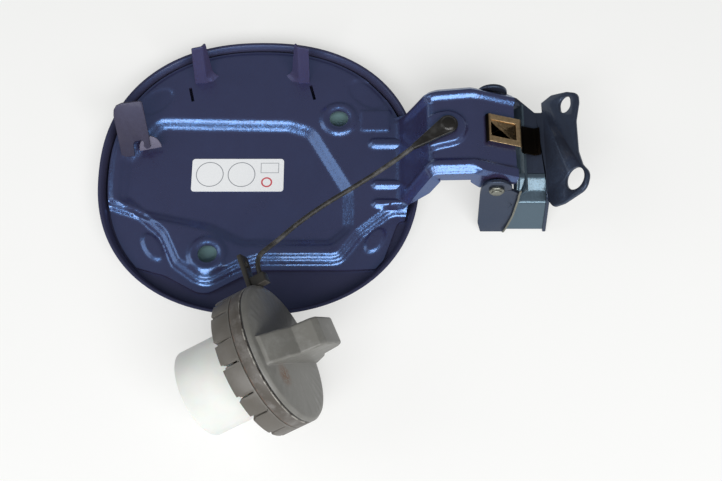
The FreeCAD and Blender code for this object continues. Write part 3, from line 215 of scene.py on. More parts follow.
def at(x, y, z=0.0):
    """A place in the frame, given in millimetres from the flap's middle."""
    return FLAP + Vector((x, y, z)) * MM


def tint(hex_text):
    """Linear colour of an sRGB hex value."""
    parts = [int(hex_text[i:i + 2], 16) / 255 for i in (1, 3, 5)]
    linear = [c / 12.92 if c <= 0.04045 else ((c + 0.055) / 1.055) ** 2.4 for c in parts]
    return (*linear, 1.0)


def add(tree, kind, settings=None, links=None, **attributes):
    """One shader node with its attributes, socket values and links from sockets or nodes' first outputs."""
    made = tree.nodes.new("ShaderNode" + kind)
    for name, value in attributes.items():
        setattr(made, name, value)
    for name, value in (settings or {}).items():
        made.inputs[name].default_value = value
    for name, source in (links or {}).items():
        tree.links.new(getattr(source, "outputs", [source])[0], made.inputs[name])
    return made


def new_material(name):
    """An empty material with its surface socket and object coordinates."""
    material = bpy.data.materials.new(name)
    material.use_nodes = True
    tree = material.node_tree
    tree.nodes.clear()
    output = add(tree, "OutputMaterial").inputs["Surface"]
    place = add(tree, "TexCoord").outputs["Object"]
    return material, tree, output, place


def plan_distance(tree, place, centre):
    """How far a place lies from the upright line through a centre."""
    away = add(tree, "VectorMath", {1: centre}, {0: place}, operation="SUBTRACT")
    flat = add(tree, "VectorMath", {1: (1.0, 1.0, 0.0)}, {0: away}, operation="MULTIPLY")
    return add(tree, "VectorMath", None, {0: flat}, operation="LENGTH").outputs["Value"]


def along_cap(tree, place):
    """The way from the stem's end to a place, and its height along the cap's axis."""
    turn = JOINTS["cap_turn"]
    away = add(tree, "VectorMath", {1: turn["pos_m"]}, {0: place}, operation="SUBTRACT")
    height = add(tree, "VectorMath", {1: turn["axis"]}, {0: away}, operation="DOT_PRODUCT")
    return away, height.outputs["Value"]


def layered(tree, colour, inks):
    """Lay inks over a colour one after another, each by the share of it that shows."""
    for share, ink in inks:
        colour = add(tree, "Mix", {"B": tint(ink)}, {"A": colour, "Factor": share},
                     data_type="RGBA").outputs[2]
    return colour


def painted_reflection_under_holes(tree, place, colour):
    """Painted reflection: pale teal on the skin under the panel's holes, for the lit skin seen through them.
    """
    for x, y in PANEL_HOLES:
        share = add(tree, "MapRange", {"From Min": 9 * MM, "From Max": 6 * MM},
                    {"Value": plan_distance(tree, place, at(x, y))})
        links = {"Factor": share}
        if colour:
            links["A"] = colour
        colour = add(tree, "Mix", {"A": tint(finishes().hem_deep), "B": tint("#9CC4C6")}, links,
                     data_type="RGBA").outputs[2]
    return colour


def metallic_paint(name, deep, light, flaked, dull, dress=None):
    """Automotive basecoat under clear coat: aluminium flakes over a dark ground, under a glossy film."""
    material, tree, output, place = new_material(name)
    # Flakes are about 0.4 mm across, so one is near a pixel in the picture.
    flakes = add(tree, "TexVoronoi", {"Scale": 1 / (0.4 * MM)}, {"Vector": place})
    lean = add(tree, "VectorMath", {1: (0.5, 0.5, 0.5)}, {0: flakes.outputs["Color"]}, operation="SUBTRACT")
    tipped = add(tree, "VectorMath", {"Scale": 0.16}, {0: lean}, operation="SCALE")
    surface = add(tree, "NewGeometry")
    turned = add(tree, "VectorMath", None, {0: surface.outputs["Normal"], 1: tipped}, operation="ADD")
    normal = add(tree, "VectorMath", None, {0: turned}, operation="NORMALIZE")
    # Dust and handling dull the film in patches of about 15 mm.
    dust = add(tree, "TexNoise", {"Scale": 1 / (15 * MM), "Detail": 6.0, "Roughness": 0.7},
               {"Vector": place})
    rough = add(tree, "MapRange", {"From Min": 0.35, "From Max": 0.75, "To Min": dull, "To Max": dull + 0.12},
                {"Value": dust})
    ground = add(tree, "BsdfDiffuse", {"Color": tint(deep)})
    if dress:
        tree.links.new(dress(tree, place, None), ground.inputs["Color"])
    flake = add(tree, "BsdfPrincipled",
                {"Base Color": tint(light), "Metallic": 1.0, "Coat Weight": 0.8,
                 "Coat Roughness": 0.12, "Coat IOR": 1.5},
                {"Roughness": rough, "Normal": normal})
    both = add(tree, "MixShader", {0: flaked}, {1: ground, 2: flake})
    tree.links.new(both.outputs[0], output)
    return material


def spring_ends_painted_shade(tree, place, colour):
    """Painted shade: the ends of the leaf spring, a little past its window, turned dark where they lie in
    shade.
    """
    along = add(tree, "SeparateXYZ", None, {0: place}).outputs["X"]
    ends = [add(tree, "MapRange", {"From Min": at(lit_x, 0).x, "From Max": at(shaded_x, 0).x}, {"Value": along})
            for lit_x, shaded_x in ((112.6, 111.8), (127.4, 128.4))]
    return layered(tree, colour, [(end, "#1B1612") for end in ends])


def cap_marks_and_gap_shade(tree, place, colour):
    """Marks on the cap: a browner skirt, painted shade as a dark line in the gap by the disc, and one rusty
    stain.
    """
    _, height = along_cap(tree, place)
    skirt = add(tree, "MapRange",
                {"From Min": (RING_LOW + 1) * MM, "From Max": (RING_LOW - 1) * MM, "To Max": 0.6},
                {"Value": height})
    gap_shade = add(tree, "Math", {1: (DISC_LOW + 0.2) * MM, 2: 0.5 * MM}, {0: height}, operation="COMPARE")
    # The stain is about 9 mm across, broken up by 1.2 mm blotches.
    reach = add(tree, "VectorMath", {1: at(*STAIN_MIDDLE)}, {0: place}, operation="DISTANCE")
    near = add(tree, "MapRange", {"From Min": 6.0 * MM, "From Max": 2.0 * MM},
               {"Value": reach.outputs["Value"]})
    blotch = add(tree, "TexNoise", {"Scale": 1 / (1.2 * MM), "Detail": 4.0}, {"Vector": place})
    patch = add(tree, "MapRange", {"From Min": 0.38, "From Max": 0.52}, {"Value": blotch})
    stain = add(tree, "Math", None, {0: near, 1: patch}, operation="MULTIPLY")
    return layered(tree, colour, [(skirt, "#4A433C"), (gap_shade, "#12110F"), (stain, "#634731")])


def dark_lug(tree, place, colour):
    """Pale and brown lines along the edges of the tether ring's band, and its lug and block, which stay
    darker than the band.
    """
    away, height = along_cap(tree, place)
    # The edges are 0.7 mm lines, pale by the disc and brown by the skirt, broken every 3 mm or so.
    broken = add(tree, "TexNoise", {"Scale": 1 / (3 * MM), "Detail": 5.0}, {"Vector": place})
    patch = add(tree, "MapRange", {"From Min": 0.42, "From Max": 0.58}, {"Value": broken})
    low = RING_LOW + RING_CLEARANCE
    inks = []
    for level, ink in ((low + RING_WIDTH - 0.15, "#96938C"), (low + 0.15, "#5E4A3E")):
        line = add(tree, "Math", {1: level * MM, 2: 0.35 * MM}, {0: height}, operation="COMPARE")
        edge_mark = add(tree, "Math", None, {0: line, 1: patch}, operation="MULTIPLY")
        inks.append((edge_mark, ink))
    along = add(tree, "VectorMath", {1: JOINTS["cap_turn"]["axis"]}, {0: away}, operation="PROJECT")
    reach = add(tree, "VectorMath", None, {0: away, 1: along}, operation="DISTANCE")
    share = add(tree, "MapRange", {"From Min": (CAP_RADIUS + 0.1) * MM, "From Max": (CAP_RADIUS + 1.4) * MM},
                {"Value": reach.outputs["Value"]})
    return layered(tree, colour, inks + [(share, "#25231F")])


def plated_steel(name, colour, roughness, streak, dress=None):
    """Zinc-plated steel: satin crystalline sheen with faint rubbing marks."""
    material, tree, output, place = new_material(name)
    cloud = add(tree, "TexNoise", {"Scale": 1 / (1.6 * MM), "Detail": 8.0, "Roughness": 0.65},
                {"Vector": place})
    stretched = add(tree, "Mapping", {"Scale": (1 / (0.5 * MM), 1 / (12 * MM), 1 / (0.5 * MM))},
                    {"Vector": place})
    lines = add(tree, "TexNoise", {"Scale": 1.0, "Detail": 3.0}, {"Vector": stretched})
    ramp = add(tree, "ValToRGB", None, {"Fac": cloud})
    low, high = ramp.color_ramp.elements
    base = tint(colour)
    low.color = (base[0] * 0.7, base[1] * 0.68, base[2] * 0.66, 1.0)
    low.position = 0.3
    high.color = base
    high.position = 0.62
    rough = add(tree, "MapRange", {"To Min": roughness - 0.1, "To Max": roughness + 0.12}, {"Value": cloud})
    bump = add(tree, "Bump", {"Strength": streak, "Distance": 0.05 * MM}, {"Height": lines})
    colour = dress(tree, place, ramp) if dress else ramp
    shader = add(tree, "BsdfPrincipled", {"Metallic": 1.0},
                 {"Base Color": colour, "Roughness": rough, "Normal": bump})
    tree.links.new(shader.outputs[0], output)
    return material


def moulded_plastic(name, colour, roughness, scuff, grain, dress=None):
    """Injection-moulded plastic: fine spark-eroded grain, with paler scuffs where it is handled."""
    material, tree, output, place = new_material(name)
    fine = add(tree, "TexNoise", {"Scale": 1 / (0.35 * MM), "Detail": 2.0}, {"Vector": place})
    wide = add(tree, "TexNoise", {"Scale": 1 / (7 * MM), "Detail": 7.0, "Roughness": 0.72},
               {"Vector": place})
    base = tint(colour)
    ramp = add(tree, "ValToRGB", None, {"Fac": wide})
    low, high = ramp.color_ramp.elements
    low.color = base
    low.position = 0.48
    high.color = tuple(c + (1 - c) * 0.35 * scuff for c in base[:3]) + (1.0,)
    high.position = 0.78
    rough = add(tree, "MapRange", {"From Min": 0.3, "From Max": 0.75, "To Min": roughness - 0.08,
                                   "To Max": roughness + 0.15}, {"Value": wide})
    bump = add(tree, "Bump", {"Strength": grain, "Distance": 0.04 * MM}, {"Height": fine})
    colour = dress(tree, place, ramp) if dress else ramp
    shader = add(tree, "BsdfPrincipled", {"IOR": 1.49},
                 {"Base Color": colour, "Roughness": rough, "Normal": bump})
    tree.links.new(shader.outputs[0], output)
    return material


def white_acetal():
    """Natural acetal moulding: milky, slightly see-through white with a soft sheen."""
    material, tree, output, place = new_material("natural_acetal_moulding")
    cloud = add(tree, "TexNoise", {"Scale": 1 / (14 * MM), "Detail": 4.0}, {"Vector": place})
    ramp = add(tree, "ValToRGB", None, {"Fac": cloud})
    low, high = ramp.color_ramp.elements
    white = tint(finishes().stem_white)
    low.color = (white[0] * 0.9, white[1] * 0.91, white[2] * 0.9, 1.0)
    low.position = 0.3
    high.color = white
    fine = add(tree, "TexNoise", {"Scale": 1 / (0.5 * MM), "Detail": 2.0}, {"Vector": place})
    bump = add(tree, "Bump", {"Strength": 0.12, "Distance": 0.03 * MM}, {"Height": fine})
    shader = add(tree, "BsdfPrincipled",
                 {"IOR": 1.48, "Roughness": 0.38, "Subsurface Weight": 0.25, "Subsurface Scale": 2 * MM},
                 {"Base Color": ramp, "Normal": bump})
    tree.links.new(shader.outputs[0], output)
    return material


def printed_label():
    """Coated paper label: white stock with plain printed rings and a frame."""
    material, tree, output, place = new_material("coated_label_stock")
    low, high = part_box("label_plate")
    middle = (low + high) / 2
    fibre = add(tree, "TexNoise", {"Scale": 1 / (0.8 * MM), "Detail": 3.0}, {"Vector": place})
    colour = add(tree, "Mix", {"A": tint(finishes().label_white), "B": tint("#E4E6E8")},
                 {"Factor": fibre}, data_type="RGBA").outputs[2]
    prints = []
    for x, y, radius, line, ink in LABEL_RINGS:
        reach = plan_distance(tree, place, middle + Vector((x, y, 0.0)) * MM)
        past = add(tree, "Math", {1: radius * MM}, {0: reach}, operation="SUBTRACT")
        prints.append((past, line, ink))
    x, y, width, height, line, ink = LABEL_FRAME
    away = add(tree, "VectorMath", {1: middle + Vector((x, y, 0.0)) * MM}, {0: place}, operation="SUBTRACT")
    size = add(tree, "VectorMath", None, {0: away}, operation="ABSOLUTE")
    axis = add(tree, "SeparateXYZ", None, {0: size})
    wide = add(tree, "Math", {1: width * MM}, {0: axis.outputs["X"]}, operation="SUBTRACT")
    tall = add(tree, "Math", {1: height * MM}, {0: axis.outputs["Y"]}, operation="SUBTRACT")
    past = add(tree, "Math", None, {0: wide, 1: tall}, operation="MAXIMUM")
    prints.append((past, line, ink))
    inks = []
    for past, line, ink in prints:
        off = add(tree, "Math", None, {0: past}, operation="ABSOLUTE")
        inked = add(tree, "Math", {1: line * MM}, {0: off}, operation="LESS_THAN")
        inks.append((inked, ink))
    shader = add(tree, "BsdfPrincipled", {"Roughness": 0.42, "IOR": 1.5},
                 {"Base Color": layered(tree, colour, inks)})
    tree.links.new(shader.outputs[0], output)
    return material


def material(name):
    """A finish, made once."""
    inks = finishes()
    makers = {
        # Dark blue that flashes pale along every bend that faces the window.
        "paint": (metallic_paint, "navy_metallic_basecoat_clearcoat", inks.paint_deep, inks.paint_flake,
                  0.62, 0.26),
        # Less flake and less gloss, so hem, posts, lug and striker stay flat and dull beside the panel.
        # The hem's darker ground and flake are painted shade for its low, dark rim.
        # The skin also takes a painted reflection in pale teal under the panel's holes.
        "skin": (metallic_paint, "basecoat_on_hem", inks.hem_deep, "#3E5680", 0.3, 0.42, painted_reflection_under_holes),
        "post": (metallic_paint, "thin_basecoat_on_posts", "#453F58", "#4A5F92", 0.3, 0.34),
        # The lug is paler and the striker greyer than the panel's paint.
        "lug": (metallic_paint, "rubbed_basecoat_on_lug", "#6E6A7A", "#7C8298", 0.14, 0.45),
        "striker": (metallic_paint, "dusty_basecoat_on_striker", "#413E4C", "#5C6280", 0.14, 0.45),
        # Painted shade: nearly black on the bracket, the navy paint where it lies in shade under the arm.
        # Painted reflection: grey-blue on the pressed wall and trough, the same paint mirroring the pale
        # table.
        "bracket": (metallic_paint, "thin_overspray_on_electrocoat", inks.bracket_deep,
                    inks.bracket_flake, 0.45, 0.34),
        "cover": (metallic_paint, "full_overspray_on_electrocoat", "#46505A", "#67808F", 0.46, 0.32),
        # Cloudy satin metal: grey on the pin, straw on the leaf spring, brighter on the drawn wire.
        "zinc": (plated_steel, "zinc_plated_steel", inks.zinc_grey, 0.36, 0.2),
        # The leaf spring's dark ends are painted shade.
        "yellow": (plated_steel, "yellow_zinc_spring_steel", inks.zinc_yellow, 0.4, 0.3, spring_ends_painted_shade),
        "wire": (plated_steel, "drawn_spring_wire", "#8F9294", 0.3, 0.3),
        # Black plastic greyed by age and handling, with a soft sheen.
        # The cap's dark line in the gap by the disc is painted shade.
        "cap": (moulded_plastic, "black_acetal_moulding", inks.cap_black, 0.42, 0.22, 0.3, cap_marks_and_gap_shade),
        # Darker and oilier than the cap.
        "plug": (moulded_plastic, "tether_plug_elastomer", "#191714", 0.36, 0.1, 0.2),
        "ring": (moulded_plastic, "tether_ring_elastomer", "#4B4640", 0.46, 0.35, 0.25, dark_lug),
        "tether": (moulded_plastic, "tether_elastomer", inks.tether_black, 0.5, 0.35, 0.25),
        # Milky white that light sinks into.
        "stem": (white_acetal,),
        # Dull black rubber and grey paste, hidden inside.
        "seal": (moulded_plastic, "nitrile_rubber", "#17171A", 0.6, 0.2, 0.4),
        "mastic": (moulded_plastic, "anti_flutter_mastic", "#3A3A3C", 0.7, 0.3, 0.5),
        "label": (printed_label,),
    }
    if name not in MATERIALS:
        maker, *values = makers[name]
        MATERIALS[name] = maker(*values)
    return MATERIALS[name]


def only(piece):
    """Leave one object selected and active."""
    bpy.ops.object.select_all(action="DESELECT")
    piece.select_set(True)
    bpy.context.view_layer.objects.active = piece


def apply_modifier(piece, kind, **settings):
    """Add a modifier, set it and apply it."""
    only(piece)
    added = piece.modifiers.new(kind.lower(), kind)
    for name, value in settings.items():
        setattr(added, name, value)
    bpy.ops.object.modifier_apply(modifier=added.name)


def edit_all(piece, **steps):
    """Run mesh operators, named with their settings, over the whole of a piece."""
    only(piece)
    bpy.ops.object.mode_set(mode="EDIT")
    bpy.ops.mesh.select_all(action="SELECT")
    for name, settings in steps.items():
        getattr(bpy.ops.mesh, name)(**settings)
    bpy.ops.object.mode_set(mode="OBJECT")


def round_edges(piece, width, degrees, segments=2, **settings):
    """Round the edges of a piece that are sharper than an angle, unless the width is 0."""
    if width:
        apply_modifier(piece, "BEVEL", width=width, segments=segments, limit_method="ANGLE",
                       angle_limit=math.radians(degrees), use_clamp_overlap=False, **settings)


def smooth(piece, degrees):
    """Shade a piece smooth, except at edges sharper than an angle."""
    only(piece)
    bpy.ops.object.shade_smooth_by_angle(angle=math.radians(degrees))


def place_on(piece, body, finish, *nodes, slot=None):
    """Finish a piece: its material, its body and the solids that it stands for; its slot is not used."""
    piece.data.materials.clear()
    piece.data.materials.append(material(finish))
    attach(piece, body)
    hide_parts(*nodes)


def finish_node(node, finish):
    """Give a solid that is shown as it is its material."""
    mesh = frame["nodes"][node].data
    mesh.materials.clear()
    mesh.materials.append(material(finish))


def cut(piece, cutter):
    """Cut a piece with another, which goes."""
    apply_modifier(piece, "BOOLEAN", operation="DIFFERENCE", object=cutter, solver="EXACT")
    bpy.data.objects.remove(cutter)


def merged_copy(node, ending, body, finish, rounding, angle=32.0, segments=2, cutter=None, slot=None):
    """A finished copy of a solid: doubles merged, flat faces joined, perhaps cut, and edges rounded in mm."""
    only(frame["nodes"][node])
    bpy.ops.object.duplicate()
    piece = bpy.context.object
    piece.name = node + "_" + ending
    piece.parent = None
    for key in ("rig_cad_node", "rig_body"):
        del piece[key]
    edit_all(piece, remove_doubles={"threshold": 0.004 * MM},
             dissolve_limited={"angle_limit": math.radians(0.2)})
    if cutter:
        cut(piece, cutter)
    round_edges(piece, rounding * MM, angle, segments, miter_outer="MITER_ARC")
    smooth(piece, 34)
    place_on(piece, body, finish, node, slot=slot)
    return piece


def mapped_sheet(name, columns, rows, place, thickness, rounding=0.0):
    """A grid whose corners run over u and v from 0 to 1, set in place by a function, with a wall."""
    bpy.ops.mesh.primitive_grid_add(x_subdivisions=columns, y_subdivisions=rows, size=1.0)
    piece = bpy.context.object
    piece.name = name
    for vertex in piece.data.vertices:
        vertex.co = place(vertex.co.x + 0.5, vertex.co.y + 0.5)
    if thickness < 0:
        edit_all(piece, flip_normals={})
    apply_modifier(piece, "SOLIDIFY", thickness=abs(thickness), offset=-1.0)
    round_edges(piece, rounding, 50)
    smooth(piece, 40)
    return piece


def cut_plate(name, outline, thickness, matrix, rounding):
    """A plate cut to an outline in millimetres, with rounded edges, set in place by a matrix."""
    bpy.ops.mesh.primitive_circle_add(vertices=len(outline), radius=1.0, fill_type="NGON")
    piece = bpy.context.object
    piece.name = name
    for vertex, (x, y) in zip(piece.data.vertices, outline):
        vertex.co = (x * MM, y * MM, 0.0)
    apply_modifier(piece, "SOLIDIFY", thickness=thickness, offset=0.0)
    round_edges(piece, rounding, 50)
    piece.data.transform(matrix)
    edit_all(piece, normals_make_consistent={"inside": False})
    smooth(piece, 34)
    return piece


def block(size, middle, turn=0.0):
    """A plain block for cutting, from its size and middle in millimetres and its turn about Z."""
    bpy.ops.mesh.primitive_cube_add(size=1.0)
    piece = bpy.context.object
    scale = Matrix.Diagonal((*(length * MM for length in size), 1.0))
    piece.data.transform(Matrix.Translation(at(*middle)) @ Matrix.Rotation(turn, 4, "Z") @ scale)
    return piece


def rounded_outline(corners, steps=7):
    """Points round a closed outline of x, y, radius corners."""
    points = [Vector(corner[:2]) for corner in corners]
    line = []
    for i, spot in enumerate(points):
        into = (spot - points[i - 1]).normalized()
        out = (points[(i + 1) % len(points)] - spot).normalized()
        turn = into.angle_signed(out, 0.0)
        reach = corners[i][2] * math.tan(abs(turn) / 2)
        first, last = spot - into * reach, spot + out * reach
        for step in range(steps + 1):
            t = step / steps
            line.append(first * (1 - t) ** 2 + spot * 2 * t * (1 - t) + last * t * t)
    return np.array(line)


def inside_by(points, outline):
    """How far points are inside a closed outline, negative outside, and the nearest spots on it."""
    second = np.roll(outline, -1, axis=0)
    along = second - outline
    length = (along ** 2).sum(1)
    best = np.full(len(points), 1e9)
    nearest = np.zeros_like(points)
    crossings = np.zeros(len(points), int)
    for a, b, way, square in zip(outline, second, along, length):
        if square < 1e-12:
            continue
        t = np.clip(((points - a) @ way) / square, 0, 1)
        spot = a + t[:, None] * way
        away = ((points - spot) ** 2).sum(1)
        closer = away < best
        best[closer] = away[closer]
        nearest[closer] = spot[closer]
        spans = (a[1] > points[:, 1]) != (b[1] > points[:, 1])
        if abs(way[1]) > 1e-12:
            crossings += spans & (points[:, 0] < a[0] + (points[:, 1] - a[1]) * way[0] / way[1])
    return np.sqrt(best) * np.where(crossings % 2 == 1, 1, -1), nearest


def rise(t):
    """A smooth step from 0 to 1."""
    t = np.clip(t, 0, 1)
    return t * t * (3 - 2 * t)


def flap_outline(inset):
    """The flap's outline drawn in by inset, in millimetres."""
    half = (SKIN_HIGH - SKIN_LOW) / 2 / MM
    power = 2 / 2.25
    angle = np.linspace(0, 2 * math.pi, 240, endpoint=False)
    across, away = np.cos(angle), np.sin(angle)
    return np.stack([np.sign(across) * np.abs(across) ** power * (half.x - inset),
                     np.sign(away) * np.abs(away) ** power * (half.y - inset)], 1)


def off_segment(points, start, end):
    """Distance of points from a segment."""
    start, end = np.array(start, float), np.array(end, float)
    way = end - start
    t = np.clip(((points - start) @ way) / (way @ way), 0, 1)
    return np.sqrt(((points - start - t[:, None] * way) ** 2).sum(1))


def panel_height(points):
    """Height of the pressed panel over spots in millimetres from the flap's middle."""
    setup = sizes()
    levels = (setup.flange_level, setup.plateau_level, setup.pan_level)
    flange, plateau, pan = (level / MM for level in levels)
    field, _ = inside_by(points, rounded_outline(PLATEAU_EDGE))
    edge, _ = inside_by(points, flap_outline(RIM_INSET))
    # The raised field's wall climbs in two steps with a narrow tread between them.
    step = 0.55 * rise((field + 0.3) / 2.4) + 0.45 * rise((field - 2.7) / 2.2)
    height = flange + (plateau - flange) * step
    height -= RIM_DROP * (1 - rise(edge / 2.2)) * (field > 3)
    # The pan's wall is a 6 mm slope with two faint steps in it.
    sunk, _ = inside_by(points, rounded_outline(PAN_EDGE))
    slope = np.clip((sunk + 0.4) / 6.0, 0, 1)
    steps = 0.55 * rise((sunk + 0.4) / 3.0) + 0.45 * rise((sunk - 2.8) / 2.8)
    height -= (plateau - pan) * (0.62 * slope + 0.38 * steps)
    for x, y in PANEL_HOLES:
        away = np.hypot(points[:, 0] - x, points[:, 1] - y)
        for (radius, lift), width, way in ((HOLE_RING, 3.0, 1), (HOLE_DIP, 2.0, -1)):
            height += way * lift * rise((radius - away) / width)
    for x, y, radius in DARTS:
        away = off_segment(points, (x, y), (DART_END, y))
        height += DART_LIFT * rise((radius - away) / (radius * 0.8))
    for x, y, long, short, turn, lift in LENS_PADS:
        c, s = math.cos(math.radians(turn)), math.sin(math.radians(turn))
        across = ((points[:, 0] - x) * c + (points[:, 1] - y) * s) / long
        away = (-(points[:, 0] - x) * s + (points[:, 1] - y) * c) / short
        height += lift * rise((1 - np.hypot(across, away)) * short / 1.6)
    past = np.abs(points - np.array(LEDGE)) - np.array(LEDGE_HALF)
    height += LEDGE_LIFT * rise((0.6 - past.max(1)) / 1.5)
    return height


class FLAP_OT_panel(bpy.types.Operator):
    """Press the inner panel: a raised field, a sunk pan, ringed holes and darts, from one sheet"""

    bl_idname = "flap.panel"
    bl_label = "Inner panel"

    def cut_slots(self, piece):
        """Cut the relief slots beside the posts."""
        for start, end in RELIEF_SLOTS:
            start, end = Vector((*start, 8.0)), Vector((*end, 8.0))
            way = end - start
            cut(piece, block((way.length, SLOT_WIDTH, 12.0), (start + end) / 2, math.atan2(way.y, way.x)))

    def execute(self, context):
        step = sizes().grid_step / MM
        columns, rows = (int(length / step) for length in PANEL_GRID)
        bpy.ops.mesh.primitive_grid_add(x_subdivisions=columns, y_subdivisions=rows, size=1.0)
        piece = context.object
        piece.name = "inner_panel_pressing"
        mesh = piece.data
        co = np.zeros(len(mesh.vertices) * 3)
        mesh.vertices.foreach_get("co", co)
        spots = co.reshape(-1, 3)[:, :2] * np.array([columns * step, rows * step])
        near, near_spot = inside_by(spots, rounded_outline(SHEET_EDGE))
        rim, rim_spot = inside_by(spots, flap_outline(SHEET_INSET))
        room = np.where(near < rim, near, rim)
        target = np.where((near < rim)[:, None], near_spot, rim_spot)
        for hole in PANEL_HOLES:
            out = spots - np.array(hole)
            away = np.hypot(out[:, 0], out[:, 1])
            ring = np.array(hole) + out * (HOLE_RADIUS / np.maximum(away, 1e-6))[:, None]
            closer = away - HOLE_RADIUS < room
            room = np.where(closer, away - HOLE_RADIUS, room)
            target = np.where(closer[:, None], ring, target)
        # Corners past an edge or within a quarter step of it go onto it; faces with no others are deleted.
        snap = 0.25 * step
        corners = np.zeros(len(mesh.polygons) * 4, int)
        mesh.polygons.foreach_get("vertices", corners)
        kept = room[corners.reshape(-1, 4)].max(1) > snap
        moved = np.where((room < snap)[:, None], target, spots)
        full = np.column_stack([moved, panel_height(moved)]) * MM + np.array(FLAP)
        mesh.vertices.foreach_set("co", full.ravel())
        bpy.ops.object.mode_set(mode="EDIT")
        bpy.ops.mesh.select_mode(type="FACE")
        bpy.ops.mesh.select_all(action="DESELECT")
        bpy.ops.object.mode_set(mode="OBJECT")
        mesh.polygons.foreach_set("select", ~kept)
        bpy.ops.object.mode_set(mode="EDIT")
        bpy.ops.mesh.delete(type="FACE")
        bpy.ops.object.mode_set(mode="OBJECT")
        apply_modifier(piece, "SOLIDIFY", thickness=sizes().panel_sheet, offset=-1.0)
        self.cut_slots(piece)
        smooth(piece, 50)
        place_on(piece, "flap", "paint", "inner_panel", slot="navy_paint")
        return {"FINISHED"}


def bent_line(points, bends, count):
    """Evenly spaced points and upward normals along a line of x, z points with rounded corners."""
    spots = [Vector(point) for point in points]
    dense = []
    last = spots[0]
    for before, spot, after, radius in zip(spots, spots[1:], spots[2:], bends):
        into, out = (spot - before).normalized(), (after - spot).normalized()
        reach = radius * math.tan(into.angle(out) / 2)
        first, end = spot - into * reach, spot + out * reach
        dense += [last.lerp(first, i / 20) for i in range(20)]
        dense += [first * (1 - t) ** 2 + spot * 2 * t * (1 - t) + end * t * t
                  for t in (i / 24 for i in range(24))]
        last = end
    dense += [last.lerp(spots[-1], i / 20) for i in range(21)]
    dense = np.array(dense)
    run = np.concatenate([[0], np.cumsum(np.hypot(*np.diff(dense, axis=0).T))])
    even = np.linspace(0, run[-1], count)
    x, z = np.interp(even, run, dense[:, 0]), np.interp(even, run, dense[:, 1])
    way = np.gradient(np.stack([x, z], 1), axis=0)
    way /= np.hypot(way[:, 0], way[:, 1])[:, None]
    return np.stack([x, z], 1), np.stack([-way[:, 1], way[:, 0]], 1)


class FLAP_OT_gooseneck(bpy.types.Operator):
    """Bend the gooseneck arm with its side flanges, beaded edges and the raised pad of the tether"""

    bl_idname = "flap.gooseneck"
    bl_label = "Gooseneck arm"

    def execute(self, context):
        columns, rows = 130, 96
        spots, normals = bent_line(ARM_LINE, ARM_BENDS, columns + 1)
        along = spots[:, 0]
        depths, nears, fars = (np.interp(along, ARM_ALONG, row) for row in (ARM_DEPTH, ARM_NEAR, ARM_FAR))

        def place(u, v):
            i = min(int(round(u * columns)), columns)
            depth, near, far = depths[i], nears[i], fars[i]
            x, z = spots[i]
            skirt = max(depth - ARM_BEAD, 0.0) / ARM_SIDE
            if v < ARM_SIDE:
                y, down = near, ARM_BEAD + skirt * (ARM_SIDE - v)
            elif v > 1 - ARM_SIDE:
                y, down = far, ARM_BEAD + skirt * (v - 1 + ARM_SIDE)
            else:
                y = near + (far - near) * (v - ARM_SIDE) / (1 - 2 * ARM_SIDE)
                # The near bead narrows past the crown, where the arm bends down to the pin.
                crown = 4.4 - 2.8 * rise((x - 103.0) / 6.0)
                down = ARM_BEAD * (2 - rise((y - near) / crown) - rise((far - y) / 3.0))
            inner = rise((y - near - 5.6) / 2.8) * rise((far - y - 4.0) / 3.4)
            sunk = ARM_SUNK * inner * rise((x - 70.0) / 7.0) * (1 - 0.15 * rise((x - 105.0) / 6.0))
            if z > 38.5:
                pad = off_segment(np.array([[x, y]]), PAD_START, PAD_END)[0]
                sunk -= PAD_LIFT * rise((PAD_REACH - pad) / 2.6)
            drop = float(min(down, depth) + sunk)
            nx, nz = normals[i]
            return at(x - nx * drop, y, z - nz * drop)

        piece = mapped_sheet("gooseneck_arm", columns, rows, place, sizes().panel_sheet)
        place_on(piece, "flap", "paint", "inner_panel", slot="navy_paint")
        return {"FINISHED"}


